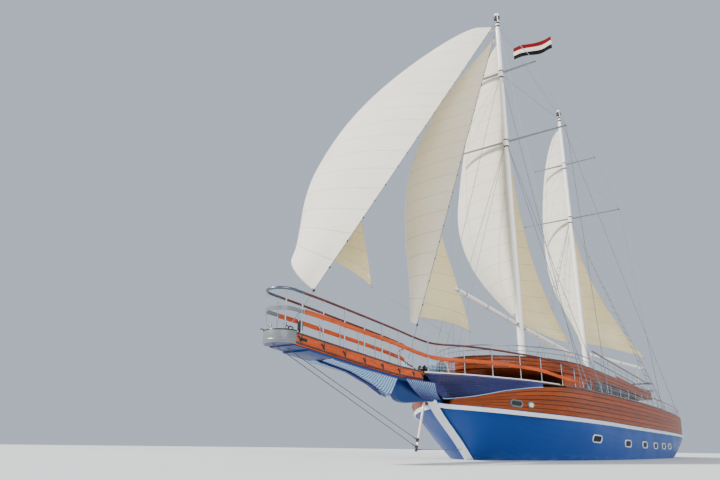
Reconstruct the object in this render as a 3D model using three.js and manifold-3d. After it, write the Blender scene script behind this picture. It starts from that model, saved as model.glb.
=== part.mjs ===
// A two-masted sailing tour boat with a long bow platform, an open sun deck and four set sails.
// Millimetres. +X is forward, +Y is port, +Z is up. The origin is on the waterline amidships.
import * as THREE from "three";
import { mergeVertices } from "three/addons/utils/BufferGeometryUtils.js";
import Module from "manifold-3d";

const wasm = await Module();
wasm.setup();

// Driving dimensions

const GAP = 0.3; // between pieces that touch
const HALF_TURN = Math.PI;

// Hull sections: station, half breadth and height at the deck edge, height of the bottom,
// fullness of the bilge and flare exponent of the section curve.
const HULL = [
  { x: 14400, half: 220, sheer: 1648, bottom: 1480, full: 1.0, flare: 1.0 },
  { x: 14000, half: 780, sheer: 1602, bottom: 1210, full: 1.0, flare: 0.6 },
  { x: 13000, half: 1600, sheer: 1532, bottom: 600, full: 1.0, flare: 0.6 },
  { x: 12000, half: 2160, sheer: 1476, bottom: -180, full: 1.0, flare: 0.72 },
  { x: 11000, half: 2520, sheer: 1446, bottom: -850, full: 1.2, flare: 0.8 },
  { x: 9500, half: 2860, sheer: 1416, bottom: -1350, full: 1.5, flare: 0.75 },
  { x: 8000, half: 3020, sheer: 1400, bottom: -1550, full: 1.9, flare: 0.64 },
  { x: 6000, half: 3140, sheer: 1384, bottom: -1650, full: 2.4, flare: 0.54 },
  { x: 3500, half: 3270, sheer: 1350, bottom: -1700, full: 2.8, flare: 0.46 },
  { x: 500, half: 3350, sheer: 1330, bottom: -1700, full: 3.0, flare: 0.42 },
  { x: -2500, half: 3360, sheer: 1320, bottom: -1650, full: 3.0, flare: 0.42 },
  { x: -5500, half: 3330, sheer: 1315, bottom: -1450, full: 2.8, flare: 0.44 },
  { x: -8500, half: 3230, sheer: 1315, bottom: -1100, full: 2.5, flare: 0.46 },
  { x: -11000, half: 3070, sheer: 1315, bottom: -650, full: 2.2, flare: 0.48 },
  { x: -12600, half: 2930, sheer: 1325, bottom: -250, full: 2.0, flare: 0.5 },
  { x: -13600, half: 2800, sheer: 1330, bottom: 50, full: 1.9, flare: 0.5 },
];
const SIDE_POINTS = 9; // points on each side of a hull section

// Bulwark: outward lean over its height, and height of its top edge.
const BULWARK = [
  { x: 14400, lean: 60, top: 1790 },
  { x: 14000, lean: 200, top: 1870 },
  { x: 13000, lean: 110, top: 2094 },
  { x: 12000, lean: 155, top: 2240 },
  { x: 11000, lean: 280, top: 2304 },
  { x: 9500, lean: 140, top: 2346 },
  { x: 8000, lean: 60, top: 2358 },
  { x: 6000, lean: 40, top: 2372 },
  { x: 3500, lean: 35, top: 2370 },
  { x: 500, lean: 30, top: 2370 },
  { x: -2500, lean: 30, top: 2360 },
  { x: -5500, lean: 35, top: 2350 },
  { x: -8500, lean: 40, top: 2340 },
  { x: -11000, lean: 45, top: 2325 },
  { x: -12600, lean: 55, top: 2310 },
  { x: -13600, lean: 60, top: 2300 },
];
const WALL = 80; // bulwark thickness
const CAP = { width: 190, height: 55, forward: 10700 };
const RUB = { depth: 130, stand: 70, below: 15, bevel: 25, forward: 14150 };

const DECK = { thick: 45, forward: 10950, inset: 6 };
const FOREDECK = { under: 2372, top: 2440, aft: 9400 };
// Edge of the foredeck from the platform to the bulwark: station and half breadth.
const WING = [
  { x: 15950, half: 470 },
  { x: 14750, half: 1260 },
  { x: 13820, half: 1690 },
  { x: 12700, half: 2158 },
  { x: 11670, half: 2473 },
  { x: 10700, half: 2676 },
  { x: 9400, half: 2813 },
];

// Bow platform: station, height of its top and of its underside.
const PLATFORM = [
  { x: 15950, top: 2440, under: 2180 },
  { x: 17400, top: 2460, under: 2180 },
  { x: 19100, top: 2560, under: 2270 },
  { x: 20650, top: 2650, under: 2380 },
  { x: 21560, top: 2705, under: 2445 },
];
const PLATFORM_HALF = 410;
const NOSE = { back: 21560 + GAP, front: 21990, under: 2445, top: 2745 };
// Blue girder under the platform and the knee that carries it on the stem
const GIRDER = { half: 385, depth: 60, front: 21100 };
const KNEE = { half: 110, stem: 14250, toe: 17300, low: 1535 };

const ROOF = {
  ...{ under: 3000, top: 3090, half: 2720, aft: -5300 },
  ...{ fascia: 70, fasciaUnder: 2945, fasciaTop: 3390 },
};
// Half outline of the sun deck's rounded front: station and half breadth.
const ROOF_FRONT = [
  { x: 12050, half: 280 },
  { x: 11900, half: 760 },
  { x: 11500, half: 1280 },
  { x: 10900, half: 1760 },
  { x: 10100, half: 2190 },
  { x: 9200, half: 2500 },
  { x: 8000, half: 2680 },
  { x: 6700, half: ROOF.half },
];

const SALOON = { front: 5800, aft: -5000, half: 2050, wall: 60, floor: 960 };
const WINDOW = { low: 1950, high: 2720, length: 1150, pitch: 1500, count: 6, first: 4900 };

const MAIN = { x: 6650, foot: 0, top: 21400, footRadius: 150, topRadius: 95 };
const MIZZEN = { x: -3200, foot: 0, top: 20700, footRadius: 135, topRadius: 85 };
const SPREADERS = {
  main: [
    { z: 14160, half: 2850 },
    { z: 18000, half: 1760 },
  ],
  mizzen: [
    { z: 13440, half: 2800 },
    { z: 17000, half: 1850 },
  ],
};
const WIRE = 11; // radius of standing rigging
const STAY_OUTER = { foot: [21493.7, 0, 2707.8], head: [6762, 0, 21050] };
const STAY_INNER = { foot: [16270, 0, 2467.4], head: [6757.4, 0, 20650] };

// Booms: gooseneck pin's station and height, length, angle to port, rise and radius
const BOOM = {
  main: { pin: 6425, z: 5310, length: 9200, angle: -3, rise: 0, radius: 95 },
  mizzen: { pin: -3412, z: 5450, length: 8600, angle: 9.3, rise: 0, radius: 85 },
  fore: { pin: 6877, z: 5350, length: 5950, angle: 0, rise: 3, radius: 80 },
};
const NECK = { ear: 25, open: 60, half: 38, pin: 18, knuckle: 34, reach: 42, spar: 130 };

// Colours
const paint = (color, roughness = 0.5, metalness = 0) =>
  new THREE.MeshStandardMaterial({ color, roughness, metalness });
const BLUE = paint(0x1a4f9a, 0.3);
const WHITE = paint(0xe4e6e6, 0.35);
const WOOD = paint(0xa9512a, 0.35);
const LIGHT_WOOD = paint(0xd9784a, 0.35);
const TEAK = paint(0xb08a5e, 0.7);
const DARK_WOOD = paint(0x4a1d18, 0.35);
const STEEL = paint(0xc9ccd0, 0.25, 1);
const SAILCLOTH = paint(0xefe7d0, 0.85);
const NET_BLUE = paint(0x5a63a8, 0.9);
const NET_PALE = paint(0xa9c6dc, 0.9);
const GLASS = paint(0x2b3a44, 0.1);
const WIRE_PAINT = paint(0xd0d4d8, 0.4, 0.6);
const BRONZE = paint(0xa8843f, 0.35, 1);
const RED = paint(0xb8283a, 0.8);

// Geometry helpers

const v3 = (p) => new THREE.Vector3(p[0], p[1], p[2]);

/** A manifold solid from a three.js geometry. */
function solid(geometry) {
  const bare = new THREE.BufferGeometry();
  bare.setAttribute("position", geometry.getAttribute("position").clone());
  if (geometry.index) bare.setIndex(geometry.index.clone());
  const merged = mergeVertices(bare, 1e-3);
  const triVerts = new Uint32Array(merged.index.array);
  const vertProperties = new Float32Array(merged.getAttribute("position").array);
  const made = new wasm.Manifold(new wasm.Mesh({ numProp: 3, vertProperties, triVerts }));
  if (made.volume() >= 0) return made;
  for (let i = 0; i < triVerts.length; i += 3)
    [triVerts[i + 1], triVerts[i + 2]] = [triVerts[i + 2], triVerts[i + 1]];
  return new wasm.Manifold(new wasm.Mesh({ numProp: 3, vertProperties, triVerts }));
}

function geometryOf(made) {
  const mesh = made.getMesh();
  const count = mesh.numVert;
  const position = new Float32Array(count * 3);
  for (let i = 0; i < count; i++)
    for (let k = 0; k < 3; k++)
      position[3 * i + k] = mesh.vertProperties[i * mesh.numProp + k];
  const geometry = new THREE.BufferGeometry();
  geometry.setAttribute("position", new THREE.BufferAttribute(position, 3));
  geometry.setIndex(new THREE.BufferAttribute(new Uint32Array(mesh.triVerts), 1));
  geometry.computeVertexNormals();
  return geometry;
}

const join = (solids) => solids.reduce((a, b) => a.add(b));
const largest = (made) => made.decompose().sort((a, b) => b.volume() - a.volume())[0];
/** Cuts a piece back so that it stands off its neighbours by a small gap in one direction. */
const clearOf = (made, neighbours, [x, y, z]) =>
  largest(made.subtract(join(neighbours).translate([x * GAP, y * GAP, z * GAP])));

/** Triangles that fill a flat ring, turning the same way as the ring. */
function fill(ring) {
  const first = v3(ring[0]);
  const normal = new THREE.Vector3();
  for (let j = 1; j < ring.length - 1; j++)
    normal.add(v3(ring[j]).sub(first).cross(v3(ring[j + 1]).sub(first)));
  const sizes = normal.toArray().map(Math.abs);
  const dropped = sizes.indexOf(Math.max(...sizes));
  const [a, b] = [0, 1, 2].filter((k) => k !== dropped);
  const flat = ring.map((p) => new THREE.Vector2(p[a], p[b]));
  const triangles = THREE.ShapeUtils.triangulateShape(flat, []);
  const turn = (points) => Math.sign(THREE.ShapeUtils.area(points));
  const same = turn(flat) === turn(triangles[0].map((k) => flat[k]));
  return same ? triangles : triangles.map(([p, q, r]) => [r, q, p]);
}

/** A closed solid through flat rings of equal point counts, or a closed loop of rings. */
function loft(rings, loop = false) {
  const n = rings[0].length;
  const index = [];
  const spans = loop ? rings.length : rings.length - 1;
  for (let i = 0; i < spans; i++)
    for (let j = 0; j < n; j++) {
      const a = i * n + j;
      const b = i * n + ((j + 1) % n);
      const next = (i + 1) % rings.length;
      const c = next * n + ((j + 1) % n);
      const d = next * n + j;
      index.push(a, b, c, a, c, d);
    }
  if (!loop) {
    const last = (rings.length - 1) * n;
    for (const [p, q, r] of fill(rings[0])) index.push(r, q, p);
    for (const [p, q, r] of fill(rings[rings.length - 1])) index.push(last + p, last + q, last + r);
  }
  const geometry = new THREE.BufferGeometry();
  geometry.setAttribute("position", new THREE.Float32BufferAttribute(rings.flat(2), 3));
  geometry.setIndex(index);
  return solid(geometry);
}

/** A thin closed solid between two grids of points, given row by row and cut into the same triangles. */
function sheet(outside, inside, wide) {
  const count = outside.length;
  const rows = count / wide - 1;
  const index = [];
  const quad = (a, b, c, d) => index.push(a, b, c, a, c, d);
  for (let j = 0; j < rows; j++) {
    const row = j * wide;
    for (let a = row; a < row + wide - 1; a++) {
      quad(a, a + 1, a + 1 + wide, a + wide);
      quad(count + a, count + a + wide, count + a + 1 + wide, count + a + 1);
    }
    quad(row, row + wide, count + row + wide, count + row);
    const end = row + wide - 1;
    quad(count + end, count + end + wide, end + wide, end);
  }
  for (let i = 0; i < wide - 1; i++) {
    quad(count + i, count + i + 1, i + 1, i);
    const a = rows * wide + i;
    quad(a, a + 1, count + a + 1, count + a);
  }
  const geometry = new THREE.BufferGeometry();
  const points = [...outside, ...inside].flat();
  geometry.setAttribute("position", new THREE.Float32BufferAttribute(points, 3));
  geometry.setIndex(index);
  return solid(geometry);
}

/** A box between two corners. */
function box(low, high) {
  const size = high.map((h, k) => h - low[k]);
  const middle = high.map((h, k) => (h + low[k]) / 2);
  return solid(new THREE.BoxGeometry(...size).translate(...middle));
}

/** A round bar between two points. */
function rod(from, to, radius, endRadius = radius, sides = 8) {
  const a = v3(from);
  const along = v3(to).sub(a);
  const bar = new THREE.CylinderGeometry(endRadius, radius, along.length(), sides);
  bar.translate(0, along.length() / 2, 0);
  const turn = new THREE.Quaternion().setFromUnitVectors(
    new THREE.Vector3(0, 1, 0),
    along.clone().normalize(),
  );
  bar.applyQuaternion(turn).translate(a.x, a.y, a.z);
  return solid(bar);
}

/** A section, as [sideways, up] points, carried along a path that stays mostly level. */
function sweep(path, section, loop = false) {
  const last = path.length - 1;
  const rings = path.map((p, i) => {
    const before = v3(path[i > 0 ? i - 1 : loop ? last : 0]);
    const after = v3(path[i < last ? i + 1 : loop ? 0 : last]);
    const along = after.sub(before).normalize();
    const side = new THREE.Vector3().crossVectors(along, new THREE.Vector3(0, 0, 1)).normalize();
    const up = new THREE.Vector3().crossVectors(side, along);
    return section.map(([s, u]) => {
      const q = v3(p).addScaledVector(side, s).addScaledVector(up, u);
      return [q.x, q.y, q.z];
    });
  });
  return loft(rings, loop);
}

const circle = (radius, sides = 8) =>
  Array.from({ length: sides }, (_, i) => {
    const a = ((i + 0.5) / sides) * 2 * Math.PI;
    return [radius * Math.cos(a), radius * Math.sin(a)];
  });
const oblong = (width, height) => [
  [-width / 2, -height / 2],
  [width / 2, -height / 2],
  [width / 2, height / 2],
  [-width / 2, height / 2],
];

/** A prism: an outline in the XY plane between two heights. */
function plate(outline, low, high) {
  const shape = new THREE.Shape(outline.map(([x, y]) => new THREE.Vector2(x, y)));
  const geometry = new THREE.ExtrudeGeometry(shape, { depth: high - low, bevelEnabled: false });
  return solid(geometry.translate(0, 0, low));
}

/** A prism: an outline in the XZ plane, as thick as 2 * half about the centreline. */
function profile(outline, half, middle = 0) {
  const shape = new THREE.Shape(outline.map(([x, z]) => new THREE.Vector2(x, z)));
  const geometry = new THREE.ExtrudeGeometry(shape, { depth: 2 * half, bevelEnabled: false });
  geometry.rotateX(HALF_TURN / 2).translate(0, middle + half, 0);
  return solid(geometry);
}

/** Straight-line value of a table's column at a station; tables run from bow to stern. */
function at(table, x, column) {
  const i = Math.max(0, Math.min(table.length - 2, table.findIndex((row) => row.x <= x) - 1));
  const [a, b] = x < table[table.length - 1].x ? table.slice(-2) : [table[i], table[i + 1]];
  return a[column] + ((b[column] - a[column]) * (x - a.x)) / (b.x - a.x);
}
const sheer = (x) => at(HULL, x, "sheer");
const halfBreadth = (x) => at(HULL, x, "half");
const capHeight = (x) => at(BULWARK, x, "top");
const capHalf = (x) => halfBreadth(x) + at(BULWARK, x, "lean");
const stationsBetween = (from, to) => [
  from,
  ...HULL.map((row) => row.x).filter((x) => x < from && x > to),
  to,
];
const mirrored = (made) => made.mirror([0, 1, 0]);

// Scene graph

const boat = new THREE.Group();
function add(name, made, material) {
  const mesh = new THREE.Mesh(geometryOf(made), material);
  mesh.name = name;
  boat.add(mesh);
  return made;
}
/** The piece on the port side, and its mirror image to starboard. */
function addPair(name, made, material) {
  add(name + "_port", made, material);
  add(name + "_starboard", mirrored(made), material);
}

// Hull

function hullRing({ x, half, sheer: top, bottom, full, flare }, inflate = 0) {
  const side = Array.from({ length: SIDE_POINTS }, (_, i) => {
    const s = 1 - i / (SIDE_POINTS - 1);
    const eased = s < 1 ? s ** 1.4 : 1;
    const y = half * (1 - (1 - eased) ** full) ** flare;
    return [x, Math.max(y, 110) + inflate, bottom + (top - bottom) * eased];
  });
  return [...side, ...side.map(([a, y, z]) => [a, -y, z]).reverse()];
}
const hullBody = loft(HULL.map((row) => hullRing(row)));
const saloonWell = box(
  [SALOON.aft + SALOON.wall, -SALOON.half + SALOON.wall, SALOON.floor - 50],
  [SALOON.front - SALOON.wall, SALOON.half - SALOON.wall, 4000],
);
const RUDDER = { pivot: -11450, aft: -12950, top: -700, foot: -2360, stock: 60, trunk: -440 };
const TRUNK = { radius: RUDDER.stock + 1, low: -900 };
const rudderTrunk = rod(
  [RUDDER.pivot, 0, TRUNK.low],
  [RUDDER.pivot, 0, RUDDER.trunk],
  TRUNK.radius,
  TRUNK.radius,
  24,
);
// The body below the level of the saloon's floor, and the top planks with the deck's ends inside them
const above = (z) => box([-20000, -9000, z], [20000, 9000, 9000]);
add("hull", hullBody.subtract(above(SALOON.floor - GAP)).subtract(rudderTrunk), BLUE);
add("hull_top_planks", hullBody.intersect(above(SALOON.floor)).subtract(saloonWell), BLUE);

// Keel with its heel bar under the propeller and rudder, and the propeller shaft's stub.
const SHAFT_Z = -1560;
const KEEL_HALF = 110;
const PROPELLER = { x: -10300, radius: 600, hub: 105, length: 300 };
const keelOutline = [
  [10600, -700],
  [9700, -1750],
  [7800, -2350],
  [4000, -2620],
  [-9000, -2620],
  [-11750, -2520],
  [-11750, -2400],
  [-9900, -2400],
  [-9550, -2100],
  [-9550, -600],
  [-8000, -600],
  [4000, -1200],
];
const keel = profile(keelOutline, KEEL_HALF)
  .subtract(hullBody)
  .translate([0, 0, -GAP]);
const stub = rod([-9400, 0, SHAFT_Z], [PROPELLER.x + PROPELLER.length / 2 + 0.6, 0, SHAFT_Z], 50);
const keelParts = keel.decompose().sort((a, b) => b.volume() - a.volume());
add("keel", keelParts[0].add(stub), BLUE);

function bladeOf(turn) {
  const blade = new THREE.Shape();
  blade.moveTo(-60, 60);
  blade.quadraticCurveTo(-290, 330, -120, PROPELLER.radius - 20);
  blade.quadraticCurveTo(60, PROPELLER.radius + 20, 190, 420);
  blade.quadraticCurveTo(200, 200, 60, 60);
  const geometry = new THREE.ExtrudeGeometry(blade, { depth: 24, bevelEnabled: false, curveSegments: 4 });
  geometry.translate(0, 0, -12);
  geometry.rotateY(HALF_TURN / 5); // blade pitch
  geometry.rotateY(HALF_TURN / 2).rotateX(HALF_TURN / 2);
  geometry.rotateX(turn);
  return solid(geometry);
}
const hub = rod(
  [PROPELLER.x - PROPELLER.length / 2, 0, 0],
  [PROPELLER.x + PROPELLER.length / 2, 0, 0],
  PROPELLER.hub * 0.6,
  PROPELLER.hub,
  12,
);
const blades = [0, 1, 2].map((k) =>
  bladeOf((k * 2 * HALF_TURN) / 3).translate([PROPELLER.x, 0, 0]),
);
add("propeller", join([hub, ...blades]).translate([0, 0, SHAFT_Z]), BRONZE);

const rudderOutline = [
  [RUDDER.pivot + 130, RUDDER.foot],
  [RUDDER.pivot + 130, RUDDER.top],
  [RUDDER.aft + 500, RUDDER.top + 110],
  [RUDDER.aft, RUDDER.top - 250],
  [RUDDER.aft + 150, RUDDER.foot],
];
const stock = rod(
  [RUDDER.pivot, 0, -2399.8],
  [RUDDER.pivot, 0, RUDDER.trunk - 10],
  RUDDER.stock,
  RUDDER.stock,
  24,
);
add("rudder", profile(rudderOutline, 55).add(stock), BLUE);

// White cutwater band on the stem
const stemOutline = [
  [14850, 1820],
  [14700, 1660],
  [14430, 1420],
  [14050, 1160],
  [13050, 540],
  [12000, -210],
  [11700, -210],
  [12700, 520],
  [13500, 1060],
  [14100, 1480],
  [14355, 1600],
  [14355, 1820],
];
const stemBand = profile(
  stemOutline.map(([x, z]) => [x + 45, z]),
  160,
)
  .subtract(hullBody)
  .translate([GAP, 0, 0])
  .decompose()
  .sort((a, b) => b.volume() - a.volume());
add("stem_band", stemBand[0], WHITE);

// White rubbing strake all round the deck edge

const sternX = HULL.at(-1).x;
const strakeSection = (x) => {
  const [inside, top] = [halfBreadth(x) + 2 * GAP, sheer(x) - RUB.below];
  const outside = inside + RUB.stand;
  return [
    [x, inside, top - RUB.depth],
    [x, outside, top - RUB.depth + RUB.bevel],
    [x, outside, top - RUB.bevel],
    [x, inside, top],
  ];
};
const strakePort = loft(stationsBetween(RUB.forward, sternX).map(strakeSection));
const sternStrake = sheer(sternX) - RUB.below;
const transomStrake = box(
  [sternX - RUB.stand, -halfBreadth(sternX) - RUB.stand, sternStrake - RUB.depth],
  [sternX - GAP, halfBreadth(sternX) + RUB.stand, sternStrake],
);
const sternTail = box(
  [sternX - RUB.stand, halfBreadth(sternX) + 1, sternStrake - RUB.depth],
  [sternX + 10, halfBreadth(sternX) + RUB.stand, sternStrake],
);
add(
  "rub_rail",
  join([strakePort, mirrored(strakePort), transomStrake, sternTail, mirrored(sternTail)]).subtract(
    hullBody,
  ),
  WHITE,
);

// Bulwarks of varnished planking, and their cap

const bulwarkRing = (x) => {
  const low = sheer(x) + GAP;
  return [
    [x, halfBreadth(x), low],
    [x, capHalf(x), capHeight(x)],
    [x, capHalf(x) - WALL, capHeight(x)],
    [x, halfBreadth(x) - WALL, low],
  ];
};
addPair("bulwark", loft(stationsBetween(14360, -13600).map(bulwarkRing)), WOOD);
const sternInside = halfBreadth(sternX) - WALL - 2 * GAP;
add(
  "bulwark_stern",
  loft(
    [sternX, sternX + WALL].map((x) => [
      [x, sternInside, sheer(sternX) + GAP],
      [x, sternInside + 40, capHeight(sternX) - 2],
      [x, -sternInside - 40, capHeight(sternX) - 2],
      [x, -sternInside, sheer(sternX) + GAP],
    ]),
  ),
  WOOD,
);

const capRing = (x) => {
  const outer = capHalf(x) + 45;
  const low = capHeight(x) + GAP;
  return [
    [x, outer, low],
    [x, outer, low + CAP.height],
    [x, outer - CAP.width, low + CAP.height],
    [x, outer - CAP.width, low],
  ];
};
const capPort = loft(stationsBetween(CAP.forward, sternX).map(capRing));
const capSternLow = capHeight(sternX + CAP.width) + GAP;
const capStern = box(
  [sternX - 45, -capHalf(sternX) - 45, capSternLow],
  [sternX + CAP.width - 45, capHalf(sternX) + 45, capSternLow + CAP.height],
);
const capRail = add("cap_rail", join([capPort, mirrored(capPort), capStern]), DARK_WOOD);

// Decks

const mastHoles = [MAIN, MIZZEN].map((m) =>
  rod([m.x, 0, m.foot], [m.x, 0, m.top], m.footRadius + 0.6, m.topRadius + 0.6, 16),
);
const deckRing = (x) => {
  const half = halfBreadth(x) - WALL - DECK.inset;
  const low = sheer(x) + GAP;
  return [
    [x, half, low],
    [x, half, low + DECK.thick],
    [x, -half, low + DECK.thick],
    [x, -half, low],
  ];
};
const deckBody = loft(stationsBetween(DECK.forward, sternX + WALL + 2).map(deckRing));
add("main_deck", deckBody.subtract(saloonWell), TEAK);

const wingOutline = [
  ...WING.map(({ x, half }) => [x, half]),
  ...WING.map(({ x, half }) => [x, -half]).reverse(),
];
const foredeck = add("foredeck", plate(wingOutline, FOREDECK.under, FOREDECK.top), TEAK);

const BULKHEAD = { x: FOREDECK.aft + 60, thick: 60, clear: 14 };
const bulkheadRing = (x) => {
  const low = sheer(x) + DECK.thick + 2 * GAP;
  const foot = halfBreadth(x) - WALL - BULKHEAD.clear;
  const head = capHalf(x) - CAP.width;
  return [
    [x, foot, low],
    [x, head, FOREDECK.under - GAP],
    [x, -head, FOREDECK.under - GAP],
    [x, -foot, low],
  ];
};
add(
  "forecastle_bulkhead",
  loft([BULKHEAD.x, BULKHEAD.x + BULKHEAD.thick].map(bulkheadRing)),
  WOOD,
);

// Bow platform, its steel nose and the girder with its knee that carries it

const PLATFORM_UP = [...PLATFORM].reverse(); // from the nose to the foredeck
const platformRing = ({ x, top, under }) => [
  [x, PLATFORM_HALF, under + 40],
  [x, PLATFORM_HALF, top],
  [x, -PLATFORM_HALF, top],
  [x, -PLATFORM_HALF, under + 40],
  [x, -PLATFORM_HALF + 120, under],
  [x, PLATFORM_HALF - 120, under],
];
const platformStart = { ...PLATFORM[0], x: PLATFORM[0].x + GAP };
const platform = add(
  "bow_platform",
  loft([platformStart, ...PLATFORM.slice(1)].map(platformRing)),
  LIGHT_WOOD,
);

const NOSE_RADIUS = PLATFORM_HALF + 10;
const noseOutline = [[NOSE.back, -NOSE_RADIUS]];
for (let i = 0; i <= 10; i++) {
  const a = -HALF_TURN / 2 + (i / 10) * HALF_TURN;
  noseOutline.push([
    NOSE.front - NOSE_RADIUS + NOSE_RADIUS * Math.cos(a),
    NOSE_RADIUS * Math.sin(a),
  ]);
}
noseOutline.push([NOSE.back, NOSE_RADIUS]);
const nose = add("platform_nose", plate(noseOutline, NOSE.under, NOSE.top), WHITE);

const girderTop = (x) => at(PLATFORM_UP, x, "under") - GAP;
const girderUnder = (x) => girderTop(x) - GIRDER.depth;
const girderRing = (x) => [
  [x, GIRDER.half, girderUnder(x)],
  [x, GIRDER.half, girderTop(x)],
  [x, -GIRDER.half, girderTop(x)],
  [x, -GIRDER.half, girderUnder(x)],
];
const girderStations = [GIRDER.front, ...PLATFORM.map((row) => row.x).reverse().slice(1)];
girderStations[girderStations.length - 1] += GAP;
const kneeOutline = [
  [KNEE.stem, FOREDECK.under - GAP],
  [PLATFORM[0].x, FOREDECK.under - GAP],
  [PLATFORM[0].x, PLATFORM[0].under - GAP - GIRDER.depth / 2],
  [KNEE.toe, girderUnder(KNEE.toe) + 10],
  [16850, KNEE.low + 60],
  [16500, KNEE.low],
  [16000, KNEE.low + 35],
  [15200, KNEE.low + 110],
  [KNEE.stem, KNEE.low + 160],
];
const knee = profile(kneeOutline, KNEE.half);
const beam = largest(
  loft(girderStations.map(girderRing))
    .add(knee)
    .subtract(join([hullBody, stemBand[0]]).translate([2 * GAP, 0, 0]))
    .subtract(join([hullBody, stemBand[0]]).translate([0, 0, GAP])),
);
add("bowsprit_beam", beam, BLUE);

// Nets: under the platform, and from the foredeck's edge down to the stem and the bulwark
const NET = { thick: 22, half: 380, belly: 150, rise: 40 };
const netStations = [
  { x: 20200, drop: 2225 },
  { x: 19100, drop: 2110 },
  { x: 18100, drop: 1880 },
  { x: 17400, drop: 1655 },
  { x: 17320, drop: 1640 },
];
/** Half of the net's section from its edge to the keel line, on its outer or its inner side. */
function netHalf({ x, drop }, inner) {
  const edge = girderUnder(x) - GAP;
  const side = drop + NET.rise;
  const slope = Math.atan2(edge - side, NET.half - NET.belly);
  const lip = inner * Math.min(NET.thick / Math.sin(slope), NET.belly);
  const fold = (inner * NET.thick * Math.sin(slope)) / 2;
  return [
    [x, NET.half - lip, edge],
    [x, NET.belly - fold, side + inner * NET.thick],
    [x, 0, drop + inner * NET.thick],
  ];
}
const netSide = (inner) =>
  netStations.flatMap((row) => {
    const half = netHalf(row, inner);
    const other = half.slice(0, 2).map(([x, y, z]) => [x, -y, z]);
    return [...half, ...other.reverse()];
  });
const platformNet = sheet(netSide(0), netSide(1), 5);
add("platform_net", platformNet, NET_PALE);

// Ends of the net's upper edge on the deck, and stations of its lower edge on the bow
const FLARE_NET = { front: 15700, aft: 11750, low: [14330, 14000, 13500, 13000, 12500, 12000, 11750] };
const flareNetColumn = (lowX, out) => {
  const share = (lowX - FLARE_NET.aft) / (FLARE_NET.low[0] - FLARE_NET.aft);
  const topX = FLARE_NET.aft + share * (FLARE_NET.front - FLARE_NET.aft);
  const [topY, lowY] = [at(WING, topX, "half") - 2, capHalf(lowX) + 6];
  const [topZ, lowZ] = [FOREDECK.under - GAP, capHeight(lowX) - 12];
  return [
    [topX, topY + out, topZ],
    [lowX, lowY + out, lowZ],
  ];
};
const flareSide = (out) => FLARE_NET.low.flatMap((x) => flareNetColumn(x, out));
addPair("flare_net", sheet(flareSide(0), flareSide(NET.thick), 2), NET_BLUE);

// Rails of the bow: a steel loop on posts, with a varnished plank at mid height

const RAIL = { radius: 30, post: 17 };
// Rail line from the nose to the sun deck: station, half breadth, height of the top and middle rails
const BOW_RAIL = [
  { x: 21600, half: 365, top: 3640, middle: 3205 },
  { x: 20600, half: 380, top: 3600, middle: 3180 },
  { x: 19300, half: 390, top: 3530, middle: 3115 },
  { x: 17500, half: 390, top: 3430, middle: 3025 },
  { x: 16200, half: 390, top: 3345, middle: 2930 },
  { x: 15400, half: 520, top: 3300, middle: 2875 },
  { x: 14750, half: 1150, top: 3270, middle: 2830 },
  { x: 13820, half: 1640, top: 3254, middle: 2840 },
  { x: 12700, half: 2108, top: 3224, middle: 2814 },
  { x: 11670, half: 2423, top: 3210, middle: 2780 },
  { x: 10700, half: 2736, top: 3134, middle: 2650 },
  { x: 10150, half: 2862, top: 3054, middle: 2616 },
  { x: 9550, half: 2914, top: 3028, middle: 2600 },
];
const NOSE_RAIL = { x: 21300, rise: 15, strip: 90, thick: 16, legs: [0.3, -0.3] };
const RAIL_POSTS = [
  20600, 19770, 18930, 18100, 17270, 16500, 15750, 14750, 13820, 12700, 11670, 10600, 9650,
];
const noseArc = (radius, z, sides = 8) =>
  Array.from({ length: sides - 1 }, (_, i) => {
    const a = HALF_TURN / 2 - ((i + 1) / sides) * HALF_TURN;
    return [BOW_RAIL[0].x + radius * Math.cos(a), radius * Math.sin(a), z];
  });
const railPoint = (x, column) => [x, at(BOW_RAIL, x, "half"), at(BOW_RAIL, x, column)];
/** The rail's line at one side from a station back, in one column of the table. */
const railLine = (from, column) => [
  railPoint(from, column),
  ...BOW_RAIL.filter((row) => row.x < from).map((row) => [row.x, row.half, row[column]]),
];
const acrossNose = (column, rise) => {
  const side = [railPoint(NOSE_RAIL.x, column), railPoint(BOW_RAIL[0].x, column)];
  const middle = noseArc(BOW_RAIL[0].half, BOW_RAIL[0][column] + rise);
  return [...side, ...middle, ...side.reverse().map(([x, y, z]) => [x, -y, z])];
};
const floorUnderRail = (x) => {
  if (x > NOSE.back) return NOSE.top;
  if (x > PLATFORM[0].x) return at(PLATFORM_UP, x, "top");
  return x > CAP.forward ? FOREDECK.top : capHeight(x) + CAP.height + GAP;
};
const railPost = ([x, y, top]) => rod([x, y, floorUnderRail(x) - 8], [x, y, top], RAIL.post);
const noseLegs = NOSE_RAIL.legs.map((share) => {
  const a = share * HALF_TURN;
  const reach = BOW_RAIL[0].half * 0.97;
  return railPost([
    BOW_RAIL[0].x + reach * Math.cos(a),
    reach * Math.sin(a),
    BOW_RAIL[0].top + NOSE_RAIL.rise,
  ]);
});
const noseSides = [railPost(railPoint(NOSE_RAIL.x + 60, "top"))];
const noseRail = join([
  sweep(acrossNose("top", NOSE_RAIL.rise), circle(RAIL.radius)),
  sweep(acrossNose("middle", 0), oblong(NOSE_RAIL.thick, NOSE_RAIL.strip)),
  ...noseLegs,
  ...noseSides,
  ...noseSides.map(mirrored),
]);
const standsOn = [capRail, platform, nose, foredeck];
add("bow_rail_nose", clearOf(noseRail, standsOn, [0, 0, 1]), STEEL);
const sideRail = join([
  sweep(railLine(NOSE_RAIL.x - 2 * GAP, "top"), circle(RAIL.radius)),
  ...RAIL_POSTS.map((x) => railPost(railPoint(x, "top"))),
]);
addPair("bow_rail", clearOf(sideRail, standsOn, [0, 0, 1]), STEEL);
const PLANK = { thick: 36, height: 112 };
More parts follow.
